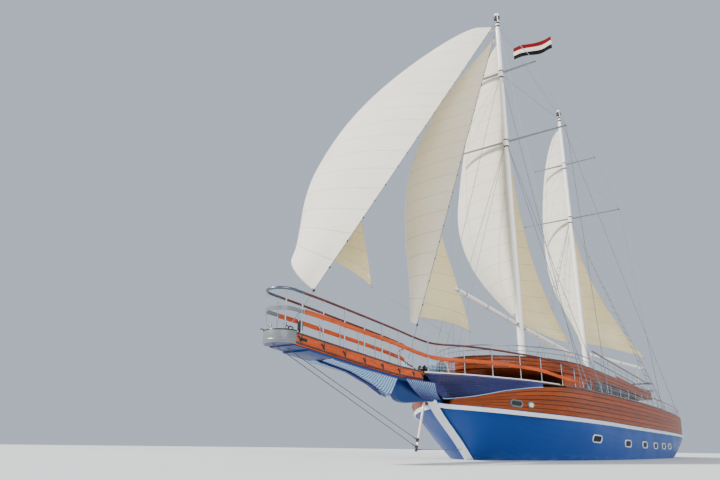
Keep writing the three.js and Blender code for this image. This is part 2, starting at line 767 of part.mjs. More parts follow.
/** A line that runs aft, moved outwards by the same distance all along, also at its bends. */
const outwards = (line, distance) =>
  line.map(([x, y, z], i) => {
    const [before, after] = [line[Math.max(0, i - 1)], line[Math.min(line.length - 1, i + 1)]];
    const first = new THREE.Vector2(before[0] - x, before[1] - y).normalize();
    const last = new THREE.Vector2(x - after[0], y - after[1]).normalize();
    const along = first.clone().add(last).normalize();
    const reach = distance / Math.max(along.dot(first), along.dot(last));
    return [x - along.y * reach, y + along.x * reach, z];
  });
const plankLine = outwards(railLine(NOSE_RAIL.x - 4, "middle"), RAIL.post + PLANK.thick / 2 + GAP);
addPair("bow_plank", sweep(plankLine, oblong(PLANK.thick, PLANK.height)), LIGHT_WOOD);

// Sun deck: floor, fascia and rails

const roofOutline = [
  ...ROOF_FRONT.map(({ x, half }) => [x, half]),
  [ROOF.aft, ROOF.half - 60],
  [ROOF.aft, -ROOF.half + 60],
  ...ROOF_FRONT.map(({ x, half }) => [x, -half]).reverse(),
];
const roofSlab = plate(roofOutline, ROOF.under, ROOF.top);
add("sun_deck", roofSlab.subtract(join(mastHoles)), TEAK);

/** The roof's outline moved outwards, to both sides and at both ends. */
const roofOutlineAt = (distance) =>
  roofOutline.map(([x, y]) => {
    const atEnd = x < ROOF.aft + 1 ? -1 : 0.35;
    const forward = x > ROOF_FRONT[1].x ? 1 : atEnd;
    return [x + forward * distance, y + Math.sign(y) * distance];
  });
const fasciaOuter = plate(roofOutlineAt(ROOF.fascia), ROOF.fasciaUnder, ROOF.fasciaTop);
const fasciaInner = plate(roofOutlineAt(1), ROOF.fasciaUnder - 10, ROOF.fasciaTop + 10);
add("sun_deck_fascia", fasciaOuter.subtract(fasciaInner), WOOD);

/** A rail on posts along a list of [x, y, drop]; the drop lowers it from the given heights. */
function railing(points, posts, { base, top, middle }) {
  const line = (z) => points.map(([x, y, drop]) => [x, y, z - drop]);
  const stand = ([x, y, drop]) => rod([x, y, base + GAP], [x, y, top - drop], RAIL.post);
  return join([
    sweep(line(top), circle(RAIL.radius)),
    sweep(line(middle), oblong(20, 70)),
    ...posts.map(stand),
  ]);
}
const acrossShip = (line) => [...line, ...line.map(([x, y, drop]) => [x, -y, drop]).reverse()];
const roofEdge = (x) => (x > ROOF_FRONT.at(-1).x ? at(ROOF_FRONT, x, "half") : ROOF.half) + 20;
const FORE_RAIL = { base: ROOF.fasciaTop, top: 3740, middle: 3570 };
const foreLine = [6650, 8000, 9200, 10300, 11300, 11850].map((x) => [x, roofEdge(x), 0]);
const foreRail = acrossShip([...foreLine, [ROOF_FRONT[0].x + 30, ROOF_FRONT[0].half - 10, 0]]);
add("sun_deck_rail_fore", railing(foreRail, foreRail, FORE_RAIL), STEEL);
const AFT_RAIL = { base: ROOF.top, top: 4150, middle: 3760, fall: 0.027, end: ROOF.aft + 30 };
const aftRail = acrossShip(
  [5900, 4000, 2000, 0, -2000, -4000, AFT_RAIL.end].map((x) => [
    x,
    ROOF.half - 45 - ((6700 - x) * 60) / (6700 - ROOF.aft),
    (5900 - x) * AFT_RAIL.fall,
  ]),
);
const lowest = aftRail[6][2];
const aftPosts = [...aftRail, [AFT_RAIL.end, 900, lowest], [AFT_RAIL.end, -900, lowest]];
add("sun_deck_rail_aft", railing(aftRail, aftPosts, AFT_RAIL), DARK_WOOD);

// Saloon under the sun deck

const deckTop = (x) => sheer(x) + GAP + DECK.thick;
const wallTop = ROOF.under - GAP;
const windowHoles = Array.from({ length: WINDOW.count }, (_, i) => {
  const x = WINDOW.first - i * WINDOW.pitch;
  return box([x - WINDOW.length, -9000, WINDOW.low], [x, 9000, WINDOW.high]);
});
/** A fore-and-aft wall whose foot follows the deck. */
function sideWall(outer, thick, from, to) {
  return loft(
    stationsBetween(from, to).map((x) => [
      [x, outer, deckTop(x) + GAP],
      [x, outer, wallTop],
      [x, outer - thick, wallTop],
      [x, outer - thick, deckTop(x) + GAP],
    ]),
  );
}
const saloonSide = sideWall(SALOON.half, SALOON.wall, SALOON.front, SALOON.aft).subtract(
  join(windowHoles),
);
addPair("saloon_side", saloonSide, LIGHT_WOOD);
const GLASS_THICK = 10;
const lastWindow = WINDOW.first - (WINDOW.count - 1) * WINDOW.pitch - WINDOW.length;
const glassOutside = SALOON.half - SALOON.wall - GAP;
const sideGlass = box(
  [lastWindow - 40, glassOutside - GLASS_THICK, WINDOW.low - 40],
  [WINDOW.first + 40, glassOutside, WINDOW.high + 40],
);
addPair("saloon_glass", sideGlass, GLASS);

const endHalf = SALOON.half - SALOON.wall - GLASS_THICK - 2 * GAP;
const endWall = (x, low) => box([x, -endHalf, low], [x + SALOON.wall, endHalf, wallTop]);
const frontX = SALOON.front - SALOON.wall;
const frontHoles = [-1, 0, 1].map((k) =>
  box([frontX - 100, k * 1250 - 500, WINDOW.low], [frontX + 200, k * 1250 + 500, WINDOW.high]),
);
add(
  "saloon_front",
  endWall(frontX, deckTop(SALOON.front) + 2 * GAP).subtract(join(frontHoles)),
  LIGHT_WOOD,
);
add(
  "saloon_glass_front",
  box(
    [frontX - GLASS_THICK - GAP, -endHalf + 30, WINDOW.low - 40],
    [frontX - GAP, endHalf - 30, WINDOW.high + 40],
  ),
  GLASS,
);
const DOOR = { half: 380, low: 1385, high: 2880, thick: 45, clear: 8 };
const HINGE = {
  ...{ x: SALOON.aft - 13, y: DOOR.half, radius: 12, height: 60, strap: 62 },
  rows: [1550, 2100, 2650],
};
/** Knuckles with their straps, on the leaf's side (-1) or on the frame's side (1) of the hinge line. */
function knuckles(side) {
  const low = side > 0 ? HINGE.height + 0.5 : 0;
  const [from, to] = [HINGE.y + side * 2, HINGE.y + side * HINGE.strap].sort((a, b) => a - b);
  const { x, y, radius } = HINGE;
  const [near, far] = side < 0 ? [from, to - 20] : [from + 20, to];
  return HINGE.rows.flatMap((row) => {
    const [foot, top] = [row + low, row + low + HINGE.height];
    return [
      rod([x, y, foot], [x, y, top], radius, radius, 12),
      box([x - 5, Math.min(from, y), foot], [x + 5, Math.max(to, y), top]),
      box([x, near, foot], [SALOON.aft + 1, far, top]),
    ];
  });
}
const aftHole = box([SALOON.aft - 100, -DOOR.half, 1000], [SALOON.aft + 200, DOOR.half, DOOR.high]);
const aftWindows = [-1, 1].map((k) =>
  box([SALOON.aft - 100, k * 1200 - 480, WINDOW.low], [SALOON.aft + 200, k * 1200 + 480, WINDOW.high]),
);
const aftWall = endWall(SALOON.aft, deckTop(SALOON.aft) + 2 * GAP).subtract(
  join([aftHole, ...aftWindows]),
);
add("saloon_aft", join([aftWall, ...knuckles(1)]), LIGHT_WOOD);
const doorLeaf = box(
  [SALOON.aft, -DOOR.half + DOOR.clear, DOOR.low],
  [SALOON.aft + DOOR.thick, DOOR.half - DOOR.clear, DOOR.high - DOOR.clear],
);
const doorWindow = box(
  [SALOON.aft - 150, -220, WINDOW.low + 50],
  [SALOON.aft + 150, 220, WINDOW.high - 50],
);
add("saloon_door", join([doorLeaf.subtract(doorWindow), ...knuckles(-1)]), WOOD);

// Walls under the sun deck's rounded edge, each with an arched way through to the side deck
const ARCH = { from: 9300, to: 6350, thick: 60, inset: 45, open: [7500, 6550], springs: 2640, top: 2860 };
function archedWall() {
  const outerAt = (x) => roofEdge(x) - ARCH.inset;
  const wall = loft(
    [ARCH.from, 9200, 8000, ARCH.to].map((x) => [
      [x, outerAt(x), deckTop(ARCH.from) + GAP],
      [x, outerAt(x), wallTop],
      [x, outerAt(x) - ARCH.thick, wallTop],
      [x, outerAt(x) - ARCH.thick, deckTop(ARCH.from) + GAP],
    ]),
  );
  const [front, back] = ARCH.open;
  const middle = (front + back) / 2;
  const half = (front - back) / 2;
  const crown = Array.from({ length: 9 }, (_, i) => {
    const a = (i / 8) * HALF_TURN;
    return [middle + half * Math.cos(a), ARCH.springs + (ARCH.top - ARCH.springs) * Math.sin(a)];
  });
  const sill = deckTop(ARCH.to) + 60;
  return wall.subtract(profile([[front, sill], ...crown, [back, sill]], 1000, ROOF.half));
}
addPair("side_panel", archedWall(), LIGHT_WOOD);

// Masts with their spreaders

/** The two ears and the vertical pin that hold a boom's end, standing off a mast. */
function gooseneck(mastX, { pin, z }) {
  const [low, high] = [Math.min(mastX, pin - NECK.reach), Math.max(mastX, pin + NECK.reach)];
  const from = mastX < pin ? mastX : low;
  const to = mastX < pin ? high : mastX;
  const ears = [z - NECK.open - NECK.ear, z + NECK.open].map((foot) =>
    box([from, -NECK.half, foot], [to, NECK.half, foot + NECK.ear]),
  );
  const reach = NECK.open + 40;
  return join([...ears, rod([pin, 0, z - reach], [pin, 0, z + reach], NECK.pin, NECK.pin, 12)]);
}
function mast({ x, top, footRadius, topRadius }, spreaders, foot, booms) {
  const radiusAt = (z) => footRadius + ((topRadius - footRadius) * z) / top;
  const pole = rod([x, 0, foot], [x, 0, top], radiusAt(foot), topRadius, 16);
  const bars = spreaders.map(({ z, half }) => {
    const ring = (y, chord, thick) => [
      [x - chord / 2, y, z - thick / 3],
      [x, y, z - thick / 2],
      [x + chord / 2, y, z - thick / 3],
      [x + chord / 2, y, z + thick / 3],
      [x, y, z + thick / 2],
      [x - chord / 2, y, z + thick / 3],
    ];
    return loft([ring(-half, 70, 40), ring(0, 150, 90), ring(half, 70, 40)]);
  });
  const head = rod([x, 0, top - 10], [x, 0, top + 170], topRadius + 30, topRadius + 20, 12);
  return join([pole, ...bars, head, ...booms.map((boom) => gooseneck(x, boom))]);
}
const mainMast = mast(MAIN, SPREADERS.main, deckTop(MAIN.x + MAIN.footRadius) + GAP, [
  BOOM.main,
  BOOM.fore,
]);
const mizzenMast = mast(MIZZEN, SPREADERS.mizzen, SALOON.floor + GAP, [BOOM.mizzen]);
add("main_mast", mainMast, WHITE);
add("mizzen_mast", mizzenMast, WHITE);

// Booms

const mastRadius = (m, z) => m.footRadius + ((m.topRadius - m.footRadius) * z) / m.top;
/** A boom that points along +X from its gooseneck pin, then is turned to where it lies. */
function boomBody({ pin, z, length, angle, rise, radius }, turn) {
  const slope = Math.tan((rise * HALF_TURN) / 180);
  const along = (d) => [d, 0, z + slope * d];
  const upright = (reach, size, sides) => rod([0, 0, z - reach], [0, 0, z + reach], size, size, sides);
  const knuckle = upright(NECK.open - 1, NECK.knuckle, 16)
    .add(box([0, -NECK.knuckle * 0.7, z - 30], [NECK.spar + 40, NECK.knuckle * 0.7, z + 30]))
    .subtract(upright(NECK.open + 40, NECK.pin + GAP + 0.4, 12));
  const end = radius * 0.75;
  const spar = rod(along(NECK.spar), along(length), radius, end, 12);
  const band = rod(along(length - 70), along(length), end + 15, end + 15, 12);
  return join([knuckle, spar, band])
    .rotate([0, 0, turn - angle])
    .translate([pin, 0, 0]);
}
add("main_boom", boomBody(BOOM.main, 180), WHITE);
add("mizzen_boom", boomBody(BOOM.mizzen, 180), WHITE);
add("fore_boom", boomBody(BOOM.fore, 0), WHITE);

// Standing rigging

add("forestay_outer", rod(STAY_OUTER.foot, STAY_OUTER.head, WIRE, WIRE, 6), WIRE_PAINT);
add("forestay_inner", rod(STAY_INNER.foot, STAY_INNER.head, WIRE, WIRE, 6), WIRE_PAINT);
const TRIATIC = { main: 20900, mizzen: 20450 };
add(
  "triatic_stay",
  rod(
    [MAIN.x - MAIN.topRadius - 2.8, 0, TRIATIC.main],
    [MIZZEN.x + MIZZEN.topRadius + 2.8, 0, TRIATIC.mizzen],
    WIRE,
    WIRE,
    6,
  ),
  WIRE_PAINT,
);

/** Shrouds of one side: a channel on the cap, wires to the mast, and one over the spreaders' tips. */
function shrouds(m, spreaders, feet, backstay) {
  const reach = WIRE + 8;
  const [low, high] = spreaders;
  const CHANNEL = { inner: -25, outer: 145, height: 30, wire: 120 };
  const channelLow = (x) => capHeight(x) + CAP.height + 2 * GAP;
  const footAt = (x) => [x, capHalf(x) + CHANNEL.wire, channelLow(x) + CHANNEL.height / 2];
  const channel = (from, to) =>
    loft(
      stationsBetween(from, to).map((x) => [
        [x, capHalf(x) + CHANNEL.outer, channelLow(x)],
        [x, capHalf(x) + CHANNEL.outer, channelLow(x) + CHANNEL.height],
        [x, capHalf(x) + CHANNEL.inner, channelLow(x) + CHANNEL.height],
        [x, capHalf(x) + CHANNEL.inner, channelLow(x)],
      ]),
    );
  const TANG = { long: 90, thick: 36, high: 70, pitch: 45 };
  const tangAt = (z, k) => [m.x + k * TANG.pitch, mastRadius(m, z) + 2 + TANG.thick / 2, z];
  const tang = (z) =>
    box(
      [m.x - TANG.long, mastRadius(m, z - TANG.high) + 1, z - TANG.high],
      [m.x + TANG.long, mastRadius(m, z) + 2 + TANG.thick, z + 30],
    );
  const lowTang = low.z - 260;
  const highTang = m.top - 420;
  const overTips = [
    footAt(m.x),
    [m.x, low.half + reach, low.z + 18],
    [m.x, high.half + reach, high.z + 18],
    tangAt(highTang, 1),
  ];
  const wires = feet.map((x, k) => rod(footAt(x), tangAt(lowTang, 1 - k), WIRE, WIRE, 6));
  for (let i = 0; i < 3; i++) wires.push(rod(overTips[i], overTips[i + 1], WIRE, WIRE, 6));
  if (backstay) {
    wires.push(rod(footAt(backstay), tangAt(highTang, -1), WIRE, WIRE, 6));
    wires.push(channel(backstay + 90, backstay - 90));
  }
  const ends = [...feet, m.x].sort((a, b) => a - b);
  const board = channel(ends[ends.length - 1] + 120, ends[0] - 120);
  return join([board, tang(lowTang), tang(highTang), ...wires]);
}
addPair("main_shrouds", shrouds(MAIN, SPREADERS.main, [9450, 8900, 7400]), WIRE_PAINT);
const MIZZEN_FEET = [-2500, -3600, -4200];
add("mizzen_shrouds_port", shrouds(MIZZEN, SPREADERS.mizzen, MIZZEN_FEET, -9000), WIRE_PAINT);
add("mizzen_shrouds_starboard", mirrored(shrouds(MIZZEN, SPREADERS.mizzen, MIZZEN_FEET)), WIRE_PAINT);

// Dolphin striker under the stem head with its three stays
const STRIKER = { top: [15200, 0, 1660], foot: [15740, 0, 230] };
const BOBSTAYS = [
  { low: [15705, 0, 370], high: [21850, 0, NOSE.under - 8] },
  { low: [15640, 0, 560], high: [21440, 0, 2427] },
  { low: [15730, 0, 300], high: [12750, 0, 330] },
];
const strikerParts = join([
  rod(STRIKER.top, STRIKER.foot, 38, 30),
  ...BOBSTAYS.map(({ low, high }) => rod(low, high, WIRE, WIRE, 6)),
]);
add(
  "dolphin_striker",
  clearOf(
    clearOf(strikerParts, [beam, platformNet, nose, platform], [0, 0, -1]),
    [stemBand[0], hullBody],
    [1, 0, 0],
  ),
  WIRE_PAINT,
);

// Sails: each a thin curved solid from its three corners

const CLOTH = 14;
/**
 * tack, head, clew: the corners. luff and leech: how far the cloth runs to starboard from each edge before
 * it turns, with ahead and lean as the share of that by which it leads forward. drift and hollow: how far
 * the leech's middle lies to starboard and forward of its straight line, and high moves that middle up.
 * foot and shelf: the share of its depth that the foot has, and the height share over which it grows.
 * rise: how far the foot arches up. tip: how soon the depth dies away towards the head.
 */
function sail(shape, columns = 8, rows = 12) {
  const [t, h, c] = [shape.tack, shape.head, shape.clew].map(v3);
  const headAft = h.clone().add(new THREE.Vector3(-220, 0, -30));
  const surface = (u, v) => {
    const swell = Math.sin(HALF_TURN * v ** shape.high);
    const luff = t.clone().lerp(h, v);
    const leech = c.clone().lerp(headAft, v);
    leech.add(new THREE.Vector3(shape.hollow * swell, -shape.drift * swell, 0));
    const grown = v < shape.shelf ? Math.sin((v / shape.shelf) * (HALF_TURN / 2)) : 1;
    const depth = (1 - v) ** shape.tip * (shape.foot + (1 - shape.foot) * grown);
    const up = shape.rise * Math.max(0, 1 - v / 0.25) ** 2;
    const runs = (edge, out, lead) => edge.clone().add(new THREE.Vector3(out * lead, -out, up));
    const nearLuff = runs(luff, depth * shape.luff, shape.ahead);
    const nearLeech = runs(leech, depth * shape.leech, shape.lean);
    return new THREE.CubicBezierCurve3(luff, nearLuff, nearLeech, leech).getPoint(u);
  };
  const outside = [];
  const inside = [];
  for (let j = 0; j <= rows; j++)
    for (let i = 0; i <= columns; i++) {
      const [u, v] = [i / columns, j / rows];
      const e = 1e-3;
      const p = surface(u, v);
      const du = surface(Math.min(1, u + e), v).sub(surface(Math.max(0, u - e), v));
      const dv = surface(u, Math.min(1, v + e)).sub(surface(u, Math.max(0, v - e)));
      const n = du.cross(dv).normalize();
      if (i === 0) n.setY(0).normalize(); // at the luff the cloth leads straight to starboard
      outside.push(p.clone().addScaledVector(n, CLOTH / 2).toArray());
      inside.push(p.clone().addScaledVector(n, -CLOTH / 2).toArray());
    }
  return sheet(outside, inside, columns + 1);
}
/** The point at a height beside a stay, where cloth just touches the wire on its starboard side. */
function onStay({ foot, head }, z) {
  const f = (z - foot[2]) / (head[2] - foot[2]);
  return [foot[0] + (head[0] - foot[0]) * f, -WIRE + 0.4, z];
}
const luffAt = (m, z) => [m.x - mastRadius(m, z) - CLOTH / 2 - 0.6, 0, z];
const SAILS = {
  jib_outer: {
    tack: onStay(STAY_OUTER, 3910),
    head: onStay(STAY_OUTER, 20300),
    clew: [14440, -2440, 5710],
    ...{ luff: 2580, ahead: 0.87, leech: 2130, lean: 1.24, drift: 2930, hollow: 1050, high: 1.08 },
    ...{ foot: 0.48, shelf: 0.33, rise: 1300, tip: 0.265 },
  },
  jib_inner: {
    tack: onStay(STAY_INNER, 3900),
    head: onStay(STAY_INNER, 19750),
    clew: [8940, -1290, 4860],
    ...{ luff: 3930, ahead: 0.05, leech: 1960, lean: 1.465, drift: 2170, hollow: 1070, high: 1.19 },
    ...{ foot: 0.27, shelf: 0.5, rise: 510, tip: 0.84 },
  },
  main_sail: {
    tack: luffAt(MAIN, 5900),
    head: luffAt(MAIN, 19900),
    clew: [-1980, -440, 5880],
    ...{ luff: 4910, ahead: -0.01, leech: 5080, lean: 0.89, drift: 970, hollow: 260, high: 0.83 },
    ...{ foot: 0.24, shelf: 0.43, rise: 240, tip: 0.63 },
  },
  mizzen_sail: {
    tack: luffAt(MIZZEN, 5900),
    head: luffAt(MIZZEN, 19600),
    clew: [-12130, 1490, 6140],
    ...{ luff: 3360, ahead: -0.22, leech: 3170, lean: 0.86, drift: 1580, hollow: 240, high: 0.92 },
    ...{ foot: 0.34, shelf: 0.41, rise: 520, tip: 0.46 },
  },
};
for (const [name, shape] of Object.entries(SAILS)) add(name, sail(shape), SAILCLOTH);

// Flag streaming to port under the triatic stay
const FLAG = { x: 4500, top: 20760, drop: 700, fly: 2050, thick: 10, wave: 90, sink: 120 };
const flagColumns = 8;
const flagSide = (thick) =>
  Array.from({ length: flagColumns + 1 }, (_, i) => {
    const s = i / flagColumns;
    const x = FLAG.x + FLAG.wave * Math.sin(s * 7) + thick;
    const top = FLAG.top - FLAG.sink * s;
    return [
      [x, FLAG.fly * s, top],
      [x - 60 * s, FLAG.fly * s, top - FLAG.drop],
    ];
  }).flat();
const flag = sheet(flagSide(0), flagSide(FLAG.thick), 2);
const stayAtFlag =
  TRIATIC.main + ((TRIATIC.mizzen - TRIATIC.main) * (MAIN.x - FLAG.x)) / (MAIN.x - MIZZEN.x);
const halyard = rod(
  [FLAG.x + 5, 0, FLAG.top - FLAG.drop - 60],
  [FLAG.x + 5, 0, stayAtFlag - WIRE + 1.7],
  9,
  9,
  6,
);
add("flag", flag.add(halyard), RED);

export default boat;
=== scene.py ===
# Two-masted sailing tour boat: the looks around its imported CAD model. Metres, +X forward, +Y port, +Z up.
import math

import bpy
import numpy as np
from mathutils import Matrix, Vector


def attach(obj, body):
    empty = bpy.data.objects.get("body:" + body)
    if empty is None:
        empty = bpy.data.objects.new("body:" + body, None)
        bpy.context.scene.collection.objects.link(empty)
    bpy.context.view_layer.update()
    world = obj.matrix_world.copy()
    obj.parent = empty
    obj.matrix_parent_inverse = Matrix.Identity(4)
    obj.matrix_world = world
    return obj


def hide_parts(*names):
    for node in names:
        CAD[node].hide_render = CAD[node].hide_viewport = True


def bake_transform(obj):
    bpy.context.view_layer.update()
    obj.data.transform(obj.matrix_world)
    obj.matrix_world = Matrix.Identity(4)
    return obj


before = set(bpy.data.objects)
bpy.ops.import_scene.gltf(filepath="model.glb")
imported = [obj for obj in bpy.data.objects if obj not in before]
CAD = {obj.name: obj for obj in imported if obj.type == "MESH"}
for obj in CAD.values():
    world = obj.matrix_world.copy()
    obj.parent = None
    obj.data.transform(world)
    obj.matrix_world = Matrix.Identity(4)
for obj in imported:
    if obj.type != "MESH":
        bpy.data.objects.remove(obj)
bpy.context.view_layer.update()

# Numbers shared with the CAD source

HULL = np.array([  # station, half breadth, sheer, bottom, fullness, flare
    (14.4, 0.22, 1.648, 1.48, 1.0, 1.0), (14.0, 0.78, 1.602, 1.21, 1.0, 0.6),
    (13.0, 1.60, 1.532, 0.60, 1.0, 0.6),
    (12.0, 2.16, 1.476, -0.18, 1.0, 0.72), (11.0, 2.52, 1.446, -0.85, 1.2, 0.8),
    (9.5, 2.86, 1.416, -1.35, 1.5, 0.75),
    (8.0, 3.02, 1.40, -1.55, 1.9, 0.64), (6.0, 3.14, 1.384, -1.65, 2.4, 0.54),
    (3.5, 3.27, 1.35, -1.70, 2.8, 0.46),
    (0.5, 3.35, 1.33, -1.70, 3.0, 0.42), (-2.5, 3.36, 1.32, -1.65, 3.0, 0.42),
    (-5.5, 3.33, 1.315, -1.45, 2.8, 0.44),
    (-8.5, 3.23, 1.315, -1.10, 2.5, 0.46), (-11.0, 3.07, 1.315, -0.65, 2.2, 0.48),
    (-12.6, 2.93, 1.325, -0.25, 2.0, 0.5),
    (-13.6, 2.80, 1.33, 0.05, 1.9, 0.5),
])
BULWARK = np.array([  # station, outward lean, height of the top
    (14.4, 0.06, 1.79), (14.0, 0.20, 1.87), (13.0, 0.11, 2.094), (12.0, 0.155, 2.24), (11.0, 0.28, 2.304),
    (9.5, 0.14, 2.346), (8.0, 0.06, 2.358), (6.0, 0.04, 2.372), (3.5, 0.035, 2.37), (0.5, 0.03, 2.37),
    (-2.5, 0.03, 2.36), (-5.5, 0.035, 2.35), (-8.5, 0.04, 2.34), (-11.0, 0.045, 2.325), (-12.6, 0.055, 2.31),
    (-13.6, 0.06, 2.30),
])
WING = np.array([  # station, half breadth of the foredeck
    (15.95, 0.47), (14.75, 1.26), (13.82, 1.69), (12.7, 2.158), (11.67, 2.473), (10.7, 2.676), (9.4, 2.813),
])
PLATFORM = np.array([  # station, top, underside
    (21.56, 2.705, 2.445), (20.65, 2.65, 2.38), (19.1, 2.56, 2.27), (17.4, 2.46, 2.18), (15.95, 2.44, 2.18),
])
BOW_RAIL = np.array([  # station, half breadth, top rail, middle rail
    (21.6, 0.365, 3.64, 3.205), (20.6, 0.38, 3.60, 3.18), (19.3, 0.39, 3.53, 3.115),
    (17.5, 0.39, 3.43, 3.025),
    (16.2, 0.39, 3.345, 2.93), (15.4, 0.52, 3.30, 2.875), (14.75, 1.15, 3.27, 2.83),
    (13.82, 1.64, 3.254, 2.84),
    (12.7, 2.108, 3.224, 2.814), (11.67, 2.423, 3.21, 2.78), (10.7, 2.736, 3.134, 2.65),
    (10.15, 2.862, 3.054, 2.616),
    (9.55, 2.914, 3.028, 2.60),
])
RAIL_POSTS = [20.6, 19.77, 18.93, 18.1, 17.27, 16.5, 15.75, 14.75, 13.82, 12.7, 11.67, 10.6, 9.65]
ROOF_FRONT = np.array([  # station, half breadth of the sun deck's rounded front
    (12.05, 0.28), (11.9, 0.76), (11.5, 1.28), (10.9, 1.76), (10.1, 2.19), (9.2, 2.5), (8.0, 2.68),
    (6.7, 2.72),
])
MAIN = {"x": 6.65, "top": 21.4, "foot": 0.15, "head": 0.095, "low": 1.45}
MIZZEN = {"x": -3.2, "top": 20.7, "foot": 0.135, "head": 0.085, "low": 0.961}
SPREADERS = {  # height, half span
    "main": [(14.16, 2.85), (18.0, 1.76)], "mizzen": [(13.44, 2.8), (17.0, 1.85)],
}
BOOMS = {  # gooseneck pin, height, length, angle to port, rise, radius, turn
    "main_boom": (6.425, 5.31, 9.2, -3, 0, 0.095, 180),
    "mizzen_boom": (-3.412, 5.45, 8.6, 9.3, 0, 0.085, 180),
    "fore_boom": (6.877, 5.35, 5.95, 0, 3, 0.08, 0),
}
STERN, SUN_DECK, FOREDECK, WING_UNDER = -13.6, 3.09, 2.44, 2.369
CAP_TOP = 0.056  # thickness of the cap rail, over the bulwark's top
NOSE_X, NOSE_TOP, PLATFORM_START = 21.6, 2.728, 15.95
SALOON_FRONT, SALOON_AFT = 5.8, -5.0
SILL, LINTEL = 1.95, 2.72
NAMED_SIDES = ((1, "port"), (-1, "starboard"))
SIDES = (1, -1)
UP = Vector((0, 0, 1))


def smooth(table, x, column):
    """A table's column at x, by a curve through its rows that never overshoots."""
    xs, ys = table[::-1, 0], table[::-1, column]
    h, d = np.diff(xs), np.diff(ys) / np.diff(xs)
    m = np.zeros(len(xs))
    for i in range(1, len(xs) - 1):
        if d[i - 1] * d[i] > 0:
            w1, w2 = 2 * h[i] + h[i - 1], h[i] + 2 * h[i - 1]
            m[i] = (w1 + w2) / (w1 / d[i - 1] + w2 / d[i])
    m[0], m[-1] = d[0], d[-1]
    x = float(np.clip(x, xs[0], xs[-1]))
    i = int(np.clip(np.searchsorted(xs, x) - 1, 0, len(h) - 1))
    t = (x - xs[i]) / h[i]
    return float(
        ys[i] * (1 + 2 * t) * (1 - t) ** 2 + m[i] * h[i] * t * (1 - t) ** 2
        + ys[i + 1] * t * t * (3 - 2 * t) + m[i + 1] * h[i] * t * t * (t - 1)
    )


def straight(table, x, column=1):
    """A table's column at x, by straight lines between its rows."""
    return float(np.interp(x, table[::-1, 0], table[::-1, column]))


def half_at(x):
    """Half breadth of the hull at its sheer."""
    return smooth(HULL, x, 1)


def sheer_at(x):
    """Height of the sheer."""
    return smooth(HULL, x, 2)


def cap_half(x):
    """Half breadth of the bulwark at its top."""
    return smooth(HULL, x, 1) + smooth(BULWARK, x, 1)


def cap_z(x):
    """Height of the bulwark's top."""
    return smooth(BULWARK, x, 2)


def platform_at(x, column):
    """Height of the platform's top (column 1) or underside (column 2)."""
    return straight(PLATFORM, x, column)


# Lines, sections and lathe profiles


def between(start, end, count):
    """Evenly spaced points on a straight line."""
    return [Vector(start).lerp(Vector(end), t) for t in np.linspace(0, 1, count)]


def curve_through(points, step=0.1):
    """Evenly spaced points on a smooth curve through the given ones."""
    p = np.array(points, float)
    ext = np.vstack([2 * p[0] - p[1], p, 2 * p[-1] - p[-2]])
    out = []
    for i in range(1, len(ext) - 2):
        a, b, c, d = ext[i - 1:i + 3]
        count = max(1, int(np.ceil(np.linalg.norm(c - b) / step)))
        for k in range(count):
            t = k / count
            bend = (2 * a - 5 * b + 4 * c - d) * t * t + (3 * b - a - 3 * c + d) * t ** 3
            out.append(0.5 * (2 * b + (c - a) * t + bend))
    out.append(p[-1])
    return np.array(out)


def rounded(width, height, radius, turns=3):
    """A rounded rectangle as [sideways, up] points."""
    out = []
    across, rise = width / 2 - radius, height / 2 - radius
    for cx, cy, start in ((1, 1, 0), (-1, 1, 90), (-1, -1, 180), (1, -1, 270)):
        for k in range(turns + 1):
            a = math.radians(start + 90 * k / turns)
            out.append((cx * across + radius * math.cos(a), cy * rise + radius * math.sin(a)))
    return out


def turns_of(count):
    """Angles of a whole turn, without the last that repeats the first."""
    return np.linspace(0, 2 * math.pi, count + 1)[:-1]


def circle(radius, sides):
    """A circle's points as a section for a sweep."""
    angles = [2 * math.pi * k / sides for k in range(sides)]
    return [(radius * math.cos(a), radius * math.sin(a)) for a in angles]


def barrel(end, middle, edge=0.1):
    """A lathe profile that is thicker between its two ends."""
    return [(0, end), (edge, middle), (1 - edge, middle), (1, end)]


def collar(wide, flat, slope, neck, top):
    """A lathe profile of a foot plate with the sleeve on it."""
    return [(0, wide), (flat, wide), (slope, neck), (1, top)]


def neighbours(p, i, loop=False):
    """The points before and after one of a path's points."""
    before = p[i - 1] if i or loop else p[0]
    return before, p[(i + 1) % len(p)] if i < len(p) - 1 or loop else p[-1]


def side_of(along):
    """A direction square to the given one, level where it can be."""
    other = UP if abs(along.z) < 0.9 else Vector((1, 0, 0))
    return along.cross(other).normalized()


